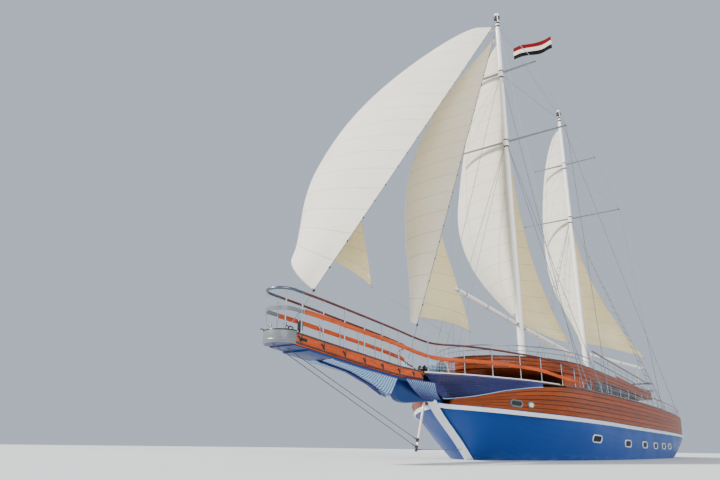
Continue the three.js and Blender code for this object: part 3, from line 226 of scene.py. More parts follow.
class Piece:
    """Collects surfaces, then becomes one Blender object."""

    def __init__(self):
        self.v, self.f, self.m, self.uv = [], [], [], []

    def grid(self, rows, mat=0, closed=False, loop=False, uv=None):
        """Quads between rows of points. closed joins each row's ends, loop the last row to the first."""
        base, n, r = len(self.v), len(rows[0]), len(rows)
        self.v += [tuple(map(float, p)) for row in rows for p in row]
        first = np.array([row[0] for row in rows], float)
        long = np.concatenate([[0], np.cumsum(np.linalg.norm(np.diff(first, axis=0), axis=1))])
        long = np.append(long, long[-1] + np.linalg.norm(first[0] - first[-1]))
        at = uv or (lambda i, j: (long[i], j / n))
        for i in range(r if loop else r - 1):
            for j in range(n if closed else n - 1):
                k, q = (i + 1) % r, (j + 1) % n
                self.f.append((base + i * n + j, base + i * n + q, base + k * n + q, base + k * n + j))
                self.uv.append([at(i, j), at(i, j + 1), at(i + 1, j + 1), at(i + 1, j)])
                self.m.append(mat)
        return base

    def cap(self, base, count, mat=0, turn=False):
        ids = [base + k for k in range(count)]
        self.f.append(tuple(reversed(ids) if turn else ids))
        self.uv.append([(self.v[i][0], self.v[i][1]) for i in ids])
        self.m.append(mat)

    def loft(self, rows, mat=0, turned=(True, False), uv=None):
        """A closed solid through rows of points, with a cap at each end."""
        base, n = self.grid(rows, mat, closed=True, uv=uv), len(rows[0])
        self.cap(base, n, mat, turned[0])
        self.cap(base + n * (len(rows) - 1), n, mat, turned[1])

    def sweep(self, path, section, mat=0, up=(0, 0, 1), taper=None):
        """Carries a closed section of [sideways, up] points along a path."""
        p = np.array(path, float)
        rows = []
        for i, q in enumerate(p):
            before, after = neighbours(p, i)
            along = Vector(after - before).normalized()
            side = along.cross(Vector(up)).normalized()
            top = side.cross(along)
            k = taper[i] if taper is not None else 1
            d1, d2 = Vector(q - before), Vector(after - q)
            mitre = 1.0
            if d1.length > 1e-9 and d2.length > 1e-9:
                mitre = 1 / max(0.35, math.cos(d1.angle(d2) / 2))
            rows.append([Vector(q) + side * (s * k * mitre) + top * (u * k) for s, u in section])
        self.loft(rows, mat)

    def tube(self, path, radius, mat=0, sides=8, loop=False):
        """A round bar along a path in any direction."""
        p = np.array(path, float)
        rows, side = [], None
        for i, q in enumerate(p):
            before, after = neighbours(p, i, loop)
            along = Vector(after - before).normalized()
            if side is None:
                side = side_of(along)
            side = (side - along * side.dot(along)).normalized()
            top = side.cross(along)
            rows.append([Vector(q) + side * c + top * s for c, s in circle(float(radius), sides)])
        if loop:
            self.grid(rows, mat, closed=True, loop=True)
        else:
            self.loft(rows, mat)

    def bar(self, start, end, radius, mat=0, sides=8):
        """A straight round bar."""
        self.tube(between(start, end, 3), radius, mat, sides)

    def ring(self, centre, across, up, radius, thick, mat=0, count=12, sides=8):
        """A ring of round bar in the plane of two directions."""
        path = [centre + across * radius * math.cos(a) + up * radius * math.sin(a) for a in turns_of(count)]
        self.tube(path, thick, mat, sides, loop=True)

    def rim(self, at, width, height, corner, profile, mat=0, turns=6):
        """A moulding round a rounded opening: at is (centre, across, up, out), profile has (inset, lift)."""
        centre, across, up, out = at
        rows = []
        for inset, lift in profile:
            outline = rounded(width - 2 * inset, height - 2 * inset, max(corner - inset, 0.004), turns)
            rows.append([centre + across * a + up * b + out * lift for a, b in outline])
        self.grid(rows, mat, closed=True, loop=True)

    def pane(self, at, width, height, corner, lift, mat=0):
        """A flat pane with rounded corners."""
        centre, across, up, out = at
        outline = rounded(width, height, corner, 6)
        heights = (lift - 0.012, lift)
        self.loft([[centre + across * a + up * b + out * h for a, b in outline] for h in heights], mat)

    def lathe(self, axis_from, axis_to, profile, mat=0, sides=24):
        """A turned form: profile is a list of (share along the axis, radius)."""
        a, b = Vector(axis_from), Vector(axis_to)
        along = (b - a).normalized()
        side = side_of(along)
        top = side.cross(along)
        turn = circle(1, sides)
        self.loft([[a.lerp(b, t) + side * c * r + top * s * r for c, s in turn] for t, r in profile], mat)

    def upright(self, x, y, low, high, profile, mat=0, sides=24):
        """A turned form on a vertical axis."""
        self.lathe((x, y, low), (x, y, high), profile, mat, sides)

    def block(self, one, other, mat=0, bevel=0.006):
        """A box between two opposite corners, with rounded long edges along its longest side."""
        low, high = np.minimum(one, other).astype(float), np.maximum(one, other).astype(float)
        size, mid = high - low, (high + low) / 2
        k = int(np.argmax(size))
        a, b = mid.copy(), mid.copy()
        a[k], b[k] = low[k], high[k]
        up = (0, 0, 1) if k != 2 else (1, 0, 0)
        w, h = {0: (size[1], size[2]), 1: (size[0], size[2]), 2: (size[1], size[0])}[k]
        r = min(bevel, w * 0.3, h * 0.3)
        ends = (b - a) / np.linalg.norm(b - a) * r
        shrink = 1 - r / max(w, h) * 1.2
        self.sweep([a, a + ends, b - ends, b], rounded(w, h, r, 2), mat, up=up, taper=[shrink, 1, 1, shrink])

    def cloth(self, middle, normals, thick, us, vs, back):
        """A closed cloth of two faces a thickness apart, where back is the second face's material."""
        rows, columns = len(vs), len(us)
        quads = (rows - 1) * (columns - 1)
        base = []
        for way, mat in ((1, 0), (-1, back)):
            face = (middle + normals * thick * way / 2).tolist()
            base.append(self.grid(face, mat, uv=lambda i, j: (us[min(j, columns - 1)], vs[min(i, rows - 1)])))
        self.f[-quads:] = [tuple(reversed(f)) for f in self.f[-quads:]]
        self.uv[-quads:] = [list(reversed(q)) for q in self.uv[-quads:]]
        edge = [(0, j) for j in range(columns)] + [(i, columns - 1) for i in range(1, rows)]
        edge += [(rows - 1, j) for j in range(columns - 2, -1, -1)] + [(i, 0) for i in range(rows - 2, 0, -1)]
        for (a, b), (d, e) in zip(edge, edge[1:] + edge[:1]):
            here, there = a * columns + b, d * columns + e
            self.f.append((base[0] + here, base[1] + here, base[1] + there, base[0] + there))
            self.uv.append([(us[b], vs[a]), (us[b], vs[a]), (us[e], vs[d]), (us[e], vs[d])])
            self.m.append(0)

    def done(self, name, mats, body="root", slot=None, replaces=(), sharp=38, blend=None):
        mesh = bpy.data.meshes.new(name)
        mesh.from_pydata(self.v, [], self.f)
        layer = mesh.uv_layers.new(name="UVMap")
        layer.data.foreach_set("uv", np.array([c for corners in self.uv for c in corners], float).ravel())
        for m in mats if isinstance(mats, (list, tuple)) else [mats]:
            mesh.materials.append(m)
        mesh.polygons.foreach_set("material_index", self.m)
        mesh.shade_smooth()
        mesh.set_sharp_from_angle(angle=math.radians(sharp))
        mesh.update()
        mesh.validate()
        obj = bpy.data.objects.new(name, mesh)
        bpy.context.scene.collection.objects.link(obj)
        if blend:
            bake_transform(obj)
        else:
            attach(obj, body)
        if replaces:
            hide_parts(*([replaces] if isinstance(replaces, str) else replaces))
        return obj


# Materials


class Look:
    """A node material built up from its object's own coordinates or its UV map."""

    def __init__(self, name, color, rough=0.5, values=()):
        self.m = bpy.data.materials.new(name)
        self.m.use_nodes = True
        self.t = self.m.node_tree
        self.b = self.t.nodes["Principled BSDF"]
        base = {"Base Color": (*color, 1), "Roughness": rough, "Coat Roughness": 0.1}
        for key, value in {**base, **dict(values)}.items():
            self.b.inputs[key].default_value = value
        coords = self.t.nodes.new("ShaderNodeTexCoord")
        self.object, self.uv = coords.outputs["Object"], coords.outputs["UV"]
        self.normal = None

    def node(self, kind, inputs=(), **settings):
        n = self.t.nodes.new("ShaderNode" + kind)
        for key, value in settings.items():
            setattr(n, key, value)
        for key, value in dict(inputs).items():
            if isinstance(value, bpy.types.NodeSocket):
                self.t.links.new(value, n.inputs[key])
            else:
                n.inputs[key].default_value = value
        return n

    def scaled(self, vector, x, y, z):
        return self.node("Mapping", {"Vector": vector, "Scale": (x, y, z)}).outputs["Vector"]

    def noise(self, vector, scale, detail=3.0, rough=0.55):
        inputs = {"Vector": vector, "Scale": scale, "Detail": detail, "Roughness": rough}
        return self.node("TexNoise", inputs).outputs["Fac"]

    def math(self, operation, a, b=0.0):
        return self.node("Math", {0: a, 1: b, 2: 0.0}, operation=operation).outputs[0]

    def times(self, a, b):
        return self.math("MULTIPLY", a, b)

    def rest(self, a):
        return self.math("SUBTRACT", 1.0, a)

    def axis(self, vector, name):
        return self.node("SeparateXYZ", {0: vector}).outputs[name]

    def ramp(self, value, low, high):
        """0 below low and 1 above high, with a soft step between."""
        inputs = {"Value": value, "From Min": low, "From Max": high}
        return self.node("MapRange", inputs, interpolation_type="SMOOTHSTEP").outputs["Result"]

    def mix(self, share, a, b):
        a, b = ((*v, 1) if isinstance(v, tuple) else v for v in (a, b))
        return self.node("Mix", {0: share, 6: a, 7: b}, data_type="RGBA").outputs[2]

    def paint(self, color):
        self.t.links.new(color, self.b.inputs["Base Color"])

    def roughness(self, value, low, high):
        n = self.node("MapRange", {"Value": value, "To Min": low, "To Max": high})
        self.t.links.new(n.outputs["Result"], self.b.inputs["Roughness"])

    def bump(self, height, distance, strength):
        """Adds a relief on top of the ones before it."""
        inputs = {"Height": height, "Distance": distance, "Strength": strength}
        if self.normal is not None:
            inputs["Normal"] = self.normal
        self.normal = self.node("Bump", inputs).outputs["Normal"]
        self.t.links.new(self.normal, self.b.inputs["Normal"])

    def seam(self, value, width):
        """1 within width of each whole number of value, else 0."""
        part = self.math("FRACT", value)
        edge = self.math("MINIMUM", part, self.rest(part))
        return self.rest(self.ramp(edge, width * 0.4, width))


def darker(color, share):
    """A share of each part of a colour."""
    return tuple(share * c for c in color)


def wood(name, dark, light, rough=0.42, coat=0.04, grain=(0.7, 14, 14), uv=False, seams=0.0, seam_axis="Y",
         caulk=(0.02, 0.012, 0.01), seam_width=0.06):
    """Planked or solid wood whose grain runs along X, or along U of its UV map."""
    k = Look(name, light, rough, {"Coat Weight": coat, "Specular IOR Level": 0.22})
    vector = k.uv if uv else k.object
    fine = k.noise(k.scaled(vector, *grain), 3.0, 5.0, 0.62)
    broad = k.noise(k.scaled(vector, grain[0] * 0.5, grain[1] * 0.16, grain[2] * 0.16), 1.6, 2.0)
    color = k.mix(k.ramp(fine, 0.3, 0.72), dark, light)
    color = k.mix(k.times(k.ramp(broad, 0.35, 0.7), 0.4), color, darker(dark, 0.62))
    k.bump(fine, 0.0015, 0.5)
    if seams:
        across = k.times(k.axis(vector, seam_axis), seams)
        board = k.node("TexWhiteNoise", {"W": k.math("FLOOR", across)}, noise_dimensions="1D")
        color = k.mix(k.times(board.outputs["Value"], 0.38), color, darker(dark, 0.5))
        line = k.seam(across, seam_width)
        color = k.mix(line, color, caulk)
        k.bump(k.rest(line), 0.003, 0.8)
    k.paint(color)
    k.roughness(fine, rough - 0.08, rough + 0.16)
    return k.m


def paint(name, color, rough=0.4, coat=0.5, strakes=0.0, stain=0.3):
    """Gloss marine paint, with faint brush marks and, on planking, the strakes' seams and dried salt."""
    k = Look(name, color, rough, {"Coat Weight": coat, "Coat Roughness": 0.12, "Specular IOR Level": 0.25})
    cloud = k.noise(k.object, 0.7, 4.0)
    marks = k.noise(k.scaled(k.object, 2, 30, 30), 2.0, 3.0)
    shade = k.mix(k.times(k.ramp(cloud, 0.3, 0.75), stain), color, darker(color, 0.68))
    if strakes:
        across = k.times(k.axis(k.uv, "Y"), strakes)
        line = k.seam(across, 0.035)
        shade = k.mix(k.times(line, 0.55), shade, darker(color, 0.4))
        k.bump(k.rest(line), 0.004, 0.7)
        salt = k.ramp(k.axis(k.object, "Z"), 0.32, 0.02)
        salt = k.times(salt, k.ramp(k.noise(k.scaled(k.object, 1, 1, 3), 3.0, 6.0), 0.4, 0.75))
        shade = k.mix(k.times(salt, 0.12), shade, (0.30, 0.45, 0.60))
    k.paint(shade)
    k.bump(marks, 0.0008, 0.4)
    k.roughness(cloud, rough - 0.07, rough + 0.14)
    return k.m


def metal(name, color, rough, relief=0.0004):
    """Metal with fine drawn lines."""
    k = Look(name, color, rough, {"Metallic": 1.0})
    lines = k.noise(k.scaled(k.object, 3, 3, 30), 6.0, 3.0)
    cloud = k.noise(k.object, 5.0, 3.0)
    k.paint(k.mix(k.times(cloud, 0.5), color, darker(color, 0.6)))
    k.roughness(lines, rough - 0.06, rough + 0.18)
    k.bump(lines, relief, 0.5)
    return k.m


def rope(name, color, lay, rough=0.85, depth=0.0012):
    """Laid rope or wire rope: strands wind round it, by its UV map."""
    k = Look(name, color, rough)
    turn = k.math("ADD", k.times(k.axis(k.uv, "X"), lay), k.times(k.axis(k.uv, "Y"), 3.0))
    strand = k.math("ABSOLUTE", k.math("SINE", k.times(turn, math.pi)))
    cloud = k.noise(k.object, 9.0, 3.0)
    # The grooves between strands are painted darker than the crowns: painted shade in the lay.
    tone = k.mix(strand, darker(color, 0.45), color)
    k.paint(k.mix(k.times(cloud, 0.35), tone, darker(color, 0.7)))
    k.bump(strand, depth, 0.8)
    return k.m


def sailcloth(name, color, shade, panels=17):
    """Woven cloth of sewn panels across the sail, lit through from behind."""
    k = Look(name, color, 0.78, {"Sheen Weight": 0.25})
    u, v = k.axis(k.uv, "X"), k.axis(k.uv, "Y")
    wave = k.noise(k.scaled(k.uv, 2.2, 5.0, 1.0), 2.2, 3.0)
    line = k.seam(k.math("ADD", k.times(v, panels), k.times(u, 0.25)), 0.02)
    cloth = k.noise(k.object, 0.45, 3.0)
    fine = k.noise(k.scaled(k.object, 1, 1, 6), 9.0, 3.0)
    tone = k.mix(k.times(k.ramp(cloth, 0.35, 0.7), 0.55), color, shade)
    tone = k.mix(k.times(k.ramp(fine, 0.45, 0.75), 0.18), tone, darker(shade, 0.8))
    tone = k.mix(k.times(line, 0.6), tone, darker(shade, 0.5))
    k.paint(tone)
    k.bump(wave, 0.03, 0.35)
    k.bump(line, 0.004, 0.6)
    weave = k.node("TexWave", {"Vector": k.object, "Scale": 60.0, "Distortion": 1.0})
    k.bump(weave.outputs["Fac"], 0.0006, 0.4)
    through = k.node("BsdfTranslucent", {"Color": tone})
    both = k.node("MixShader", {0: 0.28, 1: k.b.outputs[0], 2: through.outputs[0]})
    k.t.links.new(both.outputs[0], k.t.nodes["Material Output"].inputs["Surface"])
    return k.m


def flag_cloth():
    """Three plain stripes."""
    k = Look("flag_stripes", (0.5, 0.5, 0.5), 0.85, {"Specular IOR Level": 0.1})
    v = k.axis(k.uv, "Y")
    lower = k.mix(k.math("GREATER_THAN", v, 0.3333), (0.004, 0.004, 0.005), (0.62, 0.60, 0.55))
    k.paint(k.mix(k.math("GREATER_THAN", v, 0.6667), lower, (0.15, 0.003, 0.005)))
    k.bump(k.node("TexWave", {"Vector": k.object, "Scale": 90.0}).outputs["Fac"], 0.0006, 0.5)
    return k.m


def porthole_pane():
    """Almost black glass, because nothing is lit behind it."""
    k = Look("porthole_dark", (0.008, 0.009, 0.012), 0.45, {"Specular IOR Level": 0.15})
    k.roughness(k.noise(k.object, 6.0, 3.0), 0.35, 0.55)
    return k.m


def window_glass():
    """Pale glass: its pale blue base colour is a painted reflection of the sky, over a faint reflection of
    its own.
    """
    values = {"Specular IOR Level": 0.25, "Transmission Weight": 0.1, "IOR": 1.45}
    # The base colour is a painted reflection of the sky.
    k = Look("sky_painted_glass", (0.50, 0.60, 0.74), 0.2, values)
    k.roughness(k.noise(k.object, 4.0, 3.0), 0.14, 0.26)
    return k.m


BLUE = paint("hull_blue", (0.003, 0.055, 0.27), 0.45, coat=0.04, strakes=16)
# A darker copy of the hull's blue, painted as shade: for the knee and shelf under the platform, the stem's
# sides, the nose's underside, the keel and the rudder.
BLUE_SHADED = paint("shaded_blue", (0.005, 0.035, 0.15), 0.5, coat=0.1)
WHITE = paint("white_gloss", (0.66, 0.70, 0.75), coat=0.2, stain=0.15)
MAST_WHITE = paint("mast_white", (0.88, 0.88, 0.86), 0.35, stain=0.1)
VARNISH = wood("varnished_planks", (0.17, 0.026, 0.003), (0.42, 0.085, 0.010), uv=True, grain=(0.9, 22, 1),
               seams=5, caulk=(0.03, 0.008, 0.004), seam_width=0.11)
STERN_PLANKS = wood("stern_planks", (0.22, 0.055, 0.02), (0.42, 0.13, 0.045), 0.3, 0.4, grain=(14, 0.9, 14))
ORANGE = wood("orange_varnish", (0.36, 0.045, 0.008), (0.64, 0.11, 0.018))
LIGHT_PLANKS = wood("light_planks", (0.30, 0.05, 0.008), (0.60, 0.13, 0.020), seams=11, seam_axis="Z")
# Darker than the orange varnish: painted shade for the fascia's bands round the sun deck.
BANDS = wood("band_planks", (0.18, 0.028, 0.006), (0.42, 0.085, 0.014), 0.36, 0.08, seams=9, seam_axis="Z")
TEAK = wood("deck_teak", (0.30, 0.17, 0.085), (0.47, 0.30, 0.16), 0.6, 0.0, seams=14)
DARK = wood("dark_varnish", (0.05, 0.014, 0.011), (0.11, 0.032, 0.024), 0.26, 0.5)
REDDISH = wood("rail_varnish", (0.06, 0.012, 0.009), (0.13, 0.028, 0.018), 0.3, 0.3)
STEEL = metal("steel_tube", (0.36, 0.40, 0.46), 0.28)
DARK_METAL = metal("dark_metal", (0.03, 0.03, 0.035), 0.45)
BRONZE = metal("bronze_cast", (0.46, 0.29, 0.11), 0.35, relief=0.002)
RAIL_GREY = metal("rail_grey", (0.13, 0.16, 0.21), 0.3)
SILVER = paint("silver_paint", (0.15, 0.16, 0.175), coat=0.3, stain=0.4)
BLACK = paint("black_fitting", (0.012, 0.012, 0.014), 0.35, coat=0.2)
SPREADER = paint("spreader_grey", (0.26, 0.29, 0.35))
CREAM_LAMP = paint("cream_lamp", (0.80, 0.72, 0.52), 0.3)
STRIKER_PAINT = paint("striker_paint", (0.62, 0.52, 0.46), 0.35)
WIRE = rope("wire_rope", (0.24, 0.26, 0.29), 22, 0.4, 0.0008)
DARK_WIRE = rope("dark_wire", (0.05, 0.06, 0.08), 22, 0.5, 0.0008)
LINE = rope("white_line", (0.66, 0.64, 0.58), 16)
PALE_CORD = rope("pale_cord", (0.36, 0.62, 0.90), 30)
BLUE_CORD = rope("blue_cord", (0.05, 0.06, 0.24), 30)
SAIL = sailcloth("cream_sailcloth", (0.96, 0.94, 0.88), (0.93, 0.88, 0.76))
# A tan copy of the sailcloth for one face of each sail: painted shade, with the warm light that comes through
# the cloth.
SAIL_SHADED = sailcloth("shaded_sailcloth", (0.81, 0.72, 0.45), (0.69, 0.58, 0.30))
FLAG = flag_cloth()
GLASS = window_glass()
DARK_PANE = porthole_pane()

# Hull and bulwarks

STATIONS = np.concatenate([np.linspace(14.4, 11.0, 26)[:-1], np.linspace(11.0, STERN, 62)])
STEM_FRONT = [(14.895, 1.82), (14.745, 1.66), (14.475, 1.42), (14.095, 1.16), (13.095, 0.54), (12.045, -0.21)]
PLANKS, GROOVE = 6, 0.06  # planks in the bulwark's height, and half a groove as a share of a plank
PORTS = [(7.7, 0.74), (4.1, 0.62), (1.35, 0.60), (-1.0, 0.58), (-3.1, 0.58), (-5.0, 0.58)]  # station, height
HAWSES = [  # station, height, length, breadth, 1 for the lamp
    (12.63, 1.71, 0.50, 0.24, 0), (12.12, 1.69, 0.28, 0.22, 1),
]


def mirrored(points):
    """A line's points on the other side of the boat, in reverse order."""
    return [(x, -y, z) for x, y, z in points[::-1]]


def hull_point(x, share):
    """Half breadth and height of the hull at a station and a share of the way from keel to sheer."""
    half, top, low, full, flare = (smooth(HULL, x, c) for c in range(1, 6))
    return max(half * (1 - (1 - share) ** full) ** flare, 0.11), low + (top - low) * share


def hull_y(x, z):
    """Half breadth of the hull at a station and height."""
    top, low = sheer_at(x), smooth(HULL, x, 3)
    return hull_point(x, min(max((z - low) / (top - low), 0), 1))[0]


def inner_wall(x):
    """Port side of the wall inside the hull, from the sheer down."""
    top, low = sheer_at(x), smooth(HULL, x, 3)
    floor = min(top - 0.02, max(0.93, low + 0.25))
    return [(x, max(hull_y(x, z) - 0.08, 0.03), z) for z in np.linspace(top, floor, 5)]


def hull_shell():
    """The planked outside of the hull, and the wall inside it down to the deck."""
    k = Piece()
    rows, count = [], 26
    for x in STATIONS:
        side = [(x, *hull_point(x, (1 - i / (count - 1)) ** 1.4)) for i in range(count)]
        inside = inner_wall(x)
        rows.append(side + mirrored(side) + mirrored(inside)[::-1] + inside[::-1])

    def at(i, j):
        way_down = min(j, 2 * count - 1 - j) / (count - 1)
        return (STATIONS[min(i, len(rows) - 1)], 1 - way_down if j < 2 * count else 0.5)
    k.loft(rows, uv=at)
    k.done("hull_shell", BLUE, slot="blue_paint", replaces=("hull", "hull_top_planks"))


def stem():
    """The white band on the stem's edge, with sides in the darker blue that is painted shade."""
    k = Piece()
    half = [(0.16, 0.5), (0.16, 0.06), (0.135, 0.016), (0.08, 0.0)]
    section = [(-y, back) for y, back in half] + half[::-1]
    rows = [[(x - back, y, z) for y, back in section] for x, z in curve_through(STEM_FRONT, 0.12)]
    k.loft(rows)
    # The sides and back take the darker blue, painted as shade.
    for i in range(len(rows) - 1):
        for j in (0, 6, 7):
            k.m[i * len(section) + j] = 1
    k.done("stem_cutwater", [WHITE, BLUE_SHADED], slot="white_paint", replaces="stem_band", sharp=30)


def side_path(from_x, to_x, y_of, z_of, step, sign):
    """A line along one side of the hull, by functions of the station."""
    count = max(2, int(abs(from_x - to_x) / step) + 1)
    return [(x, sign * y_of(x), z_of(x)) for x in np.linspace(from_x, to_x, count)]


def rub_rail():
    """The white strake along the sheer and across the stern."""
    k = Piece()
    section = [(0.001, -0.13), (0.045, -0.126), (0.066, -0.1), (0.072, -0.065)]
    section += [(0.066, -0.03), (0.045, -0.004), (0.001, 0)]
    half, z = half_at(STERN) + 0.07, sheer_at(STERN) - 0.015
    for sign in SIDES:
        path = side_path(14.36, STERN, lambda x: half_at(x) + 0.001, lambda x: sheer_at(x) - 0.015, 0.3, sign)
        k.sweep([(14.6, sign * 0.161, 1.652)] + path, [(-sign * s, u) for s, u in section][::sign])
    k.sweep([(STERN - 0.001, half, z), (STERN - 0.001, -half, z)], section)
    for sign in SIDES:
        corner = barrel(0.02, 0.045, 0.06)
        k.upright(STERN - 0.02, sign * (half - 0.035), z - 0.131, z + 0.001, corner, sides=16)
    k.done("rub_strake", WHITE, slot="white_paint", replaces="rub_rail", sharp=50)


def bulwark_profile(x, sign):
    """A planked bulwark's section with a groove between planks: up the outside and down the inside."""
    foot, top = sheer_at(x) + 0.001, cap_z(x) - 0.001
    half, lean = half_at(x), cap_half(x) - half_at(x)
    marks = [(0, 0), (GROOVE, 1), (1 - GROOVE, 1)]
    marks = [((n + part) / PLANKS, proud) for n in range(PLANKS) for part, proud in marks] + [(1, 0)]
    points = []
    for order, thick, way in ((marks, 0, 1), (marks[::-1], 0.078, -1)):
        for share, proud in order:
            depth = way * 0.008 * (1 - proud) if 0 < share < 1 else 0
            points.append((x, sign * (half + lean * share - thick - depth), foot + (top - foot) * share))
    return points


def bulwarks():
    """Varnished planking on both sides and across the stern."""
    xs = [x for x in STATIONS if x < 14.37]
    per = 3 * PLANKS + 1

    def at(i, j):
        whole, part = divmod(max(j if j < per else 2 * per - 1 - j, 0), 3)
        return (xs[min(i, len(xs) - 1)], (whole + (0, GROOVE, 1 - GROOVE)[part]) / 5)
    for sign, name in NAMED_SIDES:
        k = Piece()
        k.loft([bulwark_profile(x, sign) for x in xs], uv=at)
        k.done(f"bulwark_planks_{name}", VARNISH, slot="varnished_wood", replaces=f"bulwark_{name}", sharp=25)
    k = Piece()
    half, low, top = half_at(STERN) - 0.085, sheer_at(STERN) + 0.001, cap_z(STERN) - 0.003
    step = (top - low) / PLANKS
    for n in range(PLANKS):
        wide, z = half + 0.035 * n / PLANKS, low + step * n
        k.block((STERN, -wide, z + 0.003), (STERN + 0.075, wide, z + step - 0.003), bevel=0.008)
    k.done("bulwark_planks_stern", STERN_PLANKS, slot="varnished_wood", replaces="bulwark_stern")


def caps():
    """The dark rail on top of the bulwarks."""
    k = Piece()
    section = rounded(0.19, 0.055, 0.02)
    for sign in SIDES:
        path = side_path(10.7, -13.5, lambda x: cap_half(x) - 0.05, lambda x: cap_z(x) + 0.028, 0.4, sign)
        k.sweep(path, section)
    y, z = cap_half(STERN) + 0.045, cap_z(STERN) + 0.03
    k.sweep([(STERN + 0.05, y, z), (STERN + 0.05, -y, z)], section)
    k.done("bulwark_cap", DARK, slot="dark_wood", replaces="cap_rail")


def placed(point, x, z, sign):
    """Centre, across, up and out at a station and height of a side given by its half breadths."""
    ahead = Vector((0.4, sign * (point(x + 0.2, z) - point(x - 0.2, z)), 0)).normalized()
    rise = Vector((0, sign * (point(x, z + 0.08) - point(x, z - 0.08)), 0.16)).normalized()
    out = (rise.cross(ahead) * sign).normalized()
    return Vector((x, sign * point(x, z), z)), rise.cross(out).normalized(), rise, out


def bulwark_y(x, z):
    """Half breadth of the bulwark at a station and height."""
    share = (z - sheer_at(x)) / (cap_z(x) - sheer_at(x))
    return half_at(x) + (cap_half(x) - half_at(x)) * share


def portholes():
    """Long rounded windows with white rims in the hull, and the hawse ring and cream lamp at the bow; a black
    pane in the hawse is painted shade.
    """
    rims, glass, rings = Piece(), Piece(), Piece()
    long, high = 0.86, 0.29
    window = [(0, -0.03), (0, 0.012), (0.010, 0.026), (0.034, 0.026), (0.045, 0.012), (0.045, -0.03)]
    hawse = [(0, -0.02), (0, 0.02), (0.02, 0.042), (0.045, 0.034), (0.06, 0.0), (0.06, -0.02)]
    screws = [(0.408, 0.0), (-0.408, 0.0), (0.2, 0.123), (-0.2, 0.123), (0.2, -0.123), (-0.2, -0.123)]
    for sign in SIDES:
        for x, z in PORTS:
            at = placed(hull_y, x, z, sign)
            rims.rim(at, long, high, 0.14, window)
            glass.pane(at, long - 0.08, high - 0.08, 0.10, 0.004)
            centre, across, up, out = at
            for a, b in screws:
                p = centre + across * a + up * b + out * 0.022
                rims.lathe(p, p + out * 0.012, [(0, 0.011), (0.6, 0.011), (1, 0.006)], sides=8)
        for x, z, wide, tall, lamp in HAWSES:
            at = placed(bulwark_y, x, z, sign)
            corner = tall * 0.49
            rings.rim(at, wide, tall, corner, hawse)
            # Where there is no lamp, a black pane stands in for the shade inside the hawse hole.
            rings.pane(at, wide - 0.1, tall - 0.1, corner - 0.05, 0.03 if lamp else 0.008, 2 if lamp else 1)
    rims.done("porthole_rims", WHITE, slot="white_paint", sharp=50)
    glass.done("porthole_glass", DARK_PANE, slot="window_glass")
    rings.done("hawse_rings", [SILVER, BLACK, CREAM_LAMP], slot="steel", sharp=50)


# Bow platform, nets and rails


def platform():
    """The walkway: boards on top, sides of close slats between dark brackets, and a dark upper edge."""
    boards, dark = Piece(), Piece()
    xs = np.linspace(PLATFORM_START + 0.01, 21.555, 29)

    def line(y, lift, share=0.0):
        """Along the walkway, at a share of the way from its top to its underside."""
        return [(x, y, platform_at(x, 1) * (1 - share) + platform_at(x, 2) * share + lift) for x in xs]
    for n in range(7):
        boards.sweep(line(-0.36 + 0.12 * n, -0.018), rounded(0.112, 0.034, 0.008, 2), 1)
    slats, first, last, lean = 134, 15.99, 21.53, 0.035
    for sign in SIDES:
        panel = [(-0.012, -0.085), (0.012, -0.085), (0.012, 0.085), (-0.012, 0.085)]
        boards.sweep(line(sign * 0.405, 0, 0.5), panel)
        for n in range(slats):
            x = first + (last - first) * (n + 0.5) / slats
            foot = (x + lean, sign * 0.419, platform_at(x, 2) + 0.045)
            top = (x - lean, sign * 0.419, platform_at(x, 1) - 0.045)
            boards.sweep([foot, top], rounded(0.026, 0.013, 0.004, 1), up=(0, 1, 0))
        dark.sweep(line(sign * 0.418, -0.02), rounded(0.036, 0.046, 0.012))
        dark.sweep(line(sign * 0.416, 0.042, 1), rounded(0.03, 0.03, 0.01))
        for x in RAIL_POSTS[:6] + [21.42, 16.0]:
            low, top = platform_at(x, 2) + 0.03, platform_at(x, 1)
            path = [(x, sign * 0.424, low), (x, sign * 0.424, top)]
            dark.sweep(path, rounded(0.05, 0.018, 0.006, 1), up=(0, 1, 0))
            hook = [(x + 0.10, sign * 0.428, low + 0.15), (x + 0.05, sign * 0.432, low + 0.12)]
            hook.append((x, sign * 0.428, low + 0.04))
            dark.sweep(hook, rounded(0.045, 0.018, 0.006, 1), 1, up=(0, 1, 0))
    boards.sweep(line(0, 0.012, 1), rounded(0.80, 0.022, 0.008, 1))
    boards.done("platform_woodwork", [ORANGE, TEAK], slot="light_wood", replaces="bow_platform")
    dark.done("platform_edges", [DARK, BLACK], slot="dark_wood")


def nose_arc(x, radius, z, rise=0.0):
    """Points round the nose from port to starboard."""
    angles = np.linspace(math.pi / 2, -math.pi / 2, 25)
    return [(x + radius * math.cos(a), radius * math.sin(a), z + rise * math.cos(a)) for a in angles]


